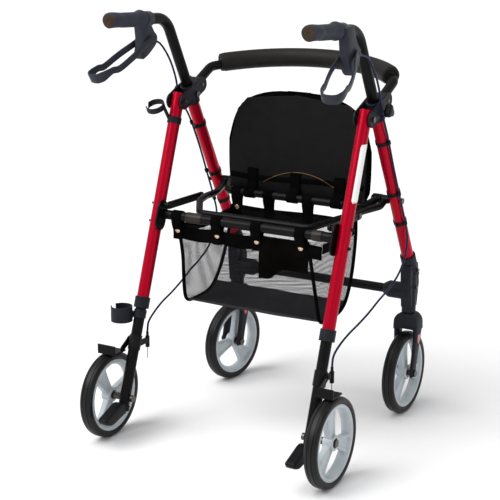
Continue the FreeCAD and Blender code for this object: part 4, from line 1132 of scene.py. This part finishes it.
# The right cable's route from the brake housing down the front leg and back to the brake arm. The upper piece
# ends at the first of the two splits, and the lower piece starts at the second.
CABLE = [
    (260, 157.5, 899.5), (260.4, 192, 888), (260.7, 229, 851), (260.9, 254, 807), (261.4, 272, 757),
    (258, 303, 714), (256.8, 318, 690), (255.6, 351, 627), (256.2, 383, 562), (257.7, 421.2, 486),
    (258.5, 434, 448), (258, 424, 402), (256.5, 392, 368), (254.5, 347, 346), (252, 298, 330),
    (249, 251, 312), (246, 206, 298), (243.5, 163, 287), (241, 124, 272), (240, 98, 255), (240, 92, 233),
]
UPPER_END, LOWER_START = 6, 9


def cable_piece(name, spots, sign):
    line = smooth_path([P(sign * x, forward, up) for x, forward, up in spots], 8)
    return tube(name, line, 0.0024, "cable", 10)


for side, sign in (("right", 1), ("left", -1)):
    upper = cable_piece(f"cable_upper_{side}", CABLE[:UPPER_END + 1], sign)
    middle = cable_piece(f"cable_middle_{side}", CABLE[UPPER_END:LOWER_START + 1], sign)
    lower = cable_piece(f"cable_lower_{side}", CABLE[LOWER_START:], sign)
    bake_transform(upper)
    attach(middle, "front_frame")
    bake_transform(lower)
    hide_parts(f"brake_cable_{side}")

# ---------------------------------------------------------------- floor, lights and camera

floor_mesh = bpy.data.meshes.new("floor")
floor_mesh.from_pydata([(-40, -40, 0), (40, -40, 0), (40, 40, 0), (-40, 40, 0)], [], [(0, 1, 2, 3)])
floor = bpy.data.objects.new("floor", floor_mesh)
bpy.context.scene.collection.objects.link(floor)
paper = Nodes("floor")
paper.link(paper.ramp(paper.noise(3.0, 2.0), [(0.3, (0.86, 0.86, 0.865)), (0.7, (0.88, 0.88, 0.885))]),
           paper.shader.inputs["Base Color"])
paper.set(Roughness=0.9)
floor.data.materials.append(paper.material)

world = bpy.context.scene.world or bpy.data.worlds.new("world")
bpy.context.scene.world = world
world.use_nodes = True
background = world.node_tree.nodes["Background"]
background.inputs["Color"].default_value = (1, 1, 1, 1)
background.inputs["Strength"].default_value = 0.62


def place_light(name, data, place, target):
    """A light that looks from one place to another."""
    light = bpy.data.objects.new(name, data)
    bpy.context.scene.collection.objects.link(light)
    light.location = place
    light.rotation_euler = (Vector(target) - Vector(place)).to_track_quat("-Z", "Y").to_euler()


def area_light(name, place, width, power):
    data = bpy.data.lights.new(name, "AREA")
    data.shape = "RECTANGLE"
    data.size = width
    data.size_y = width
    data.energy = power
    place_light(name, data, place, (0, 0, 0.5))


area_light("key", (-1.6, -2.2, 2.6), 1.6, 24)
area_light("fill", (3.0, -1.2, 1.8), 1.8, 8)

soft_sun = bpy.data.lights.new("sky_panel", "SUN")
soft_sun.energy = 2.3
soft_sun.angle = radians(50)
place_light("sky_panel", soft_sun, (0, 0, 0), (0.35, 0.55, -1.0))

CAMERA_AT = P(1515.87, -2491.32, 1254.63)
CAMERA_YAW = radians(29.836)
CAMERA_PITCH = radians(14.836)
CAMERA_ROLL = radians(0.2425)
camera_data = bpy.data.cameras.new("camera")
camera_data.lens = 101.33
camera_data.sensor_width = 36.0
camera_data.clip_end = 200.0
camera = bpy.data.objects.new("camera", camera_data)
bpy.context.scene.collection.objects.link(camera)
view = Vector((-sin(CAMERA_YAW) * cos(CAMERA_PITCH), cos(CAMERA_YAW) * cos(CAMERA_PITCH), -sin(CAMERA_PITCH)))
level = Vector((cos(CAMERA_YAW), sin(CAMERA_YAW), 0))
above = level.cross(view)
right = level * cos(CAMERA_ROLL) + above * sin(CAMERA_ROLL)
top = right.cross(view)
facing = Matrix((right, top, -view)).transposed().to_4x4()
camera.matrix_world = Matrix.Translation(CAMERA_AT) @ facing
bpy.context.scene.camera = camera
bpy.context.scene.view_settings.view_transform = "Standard"
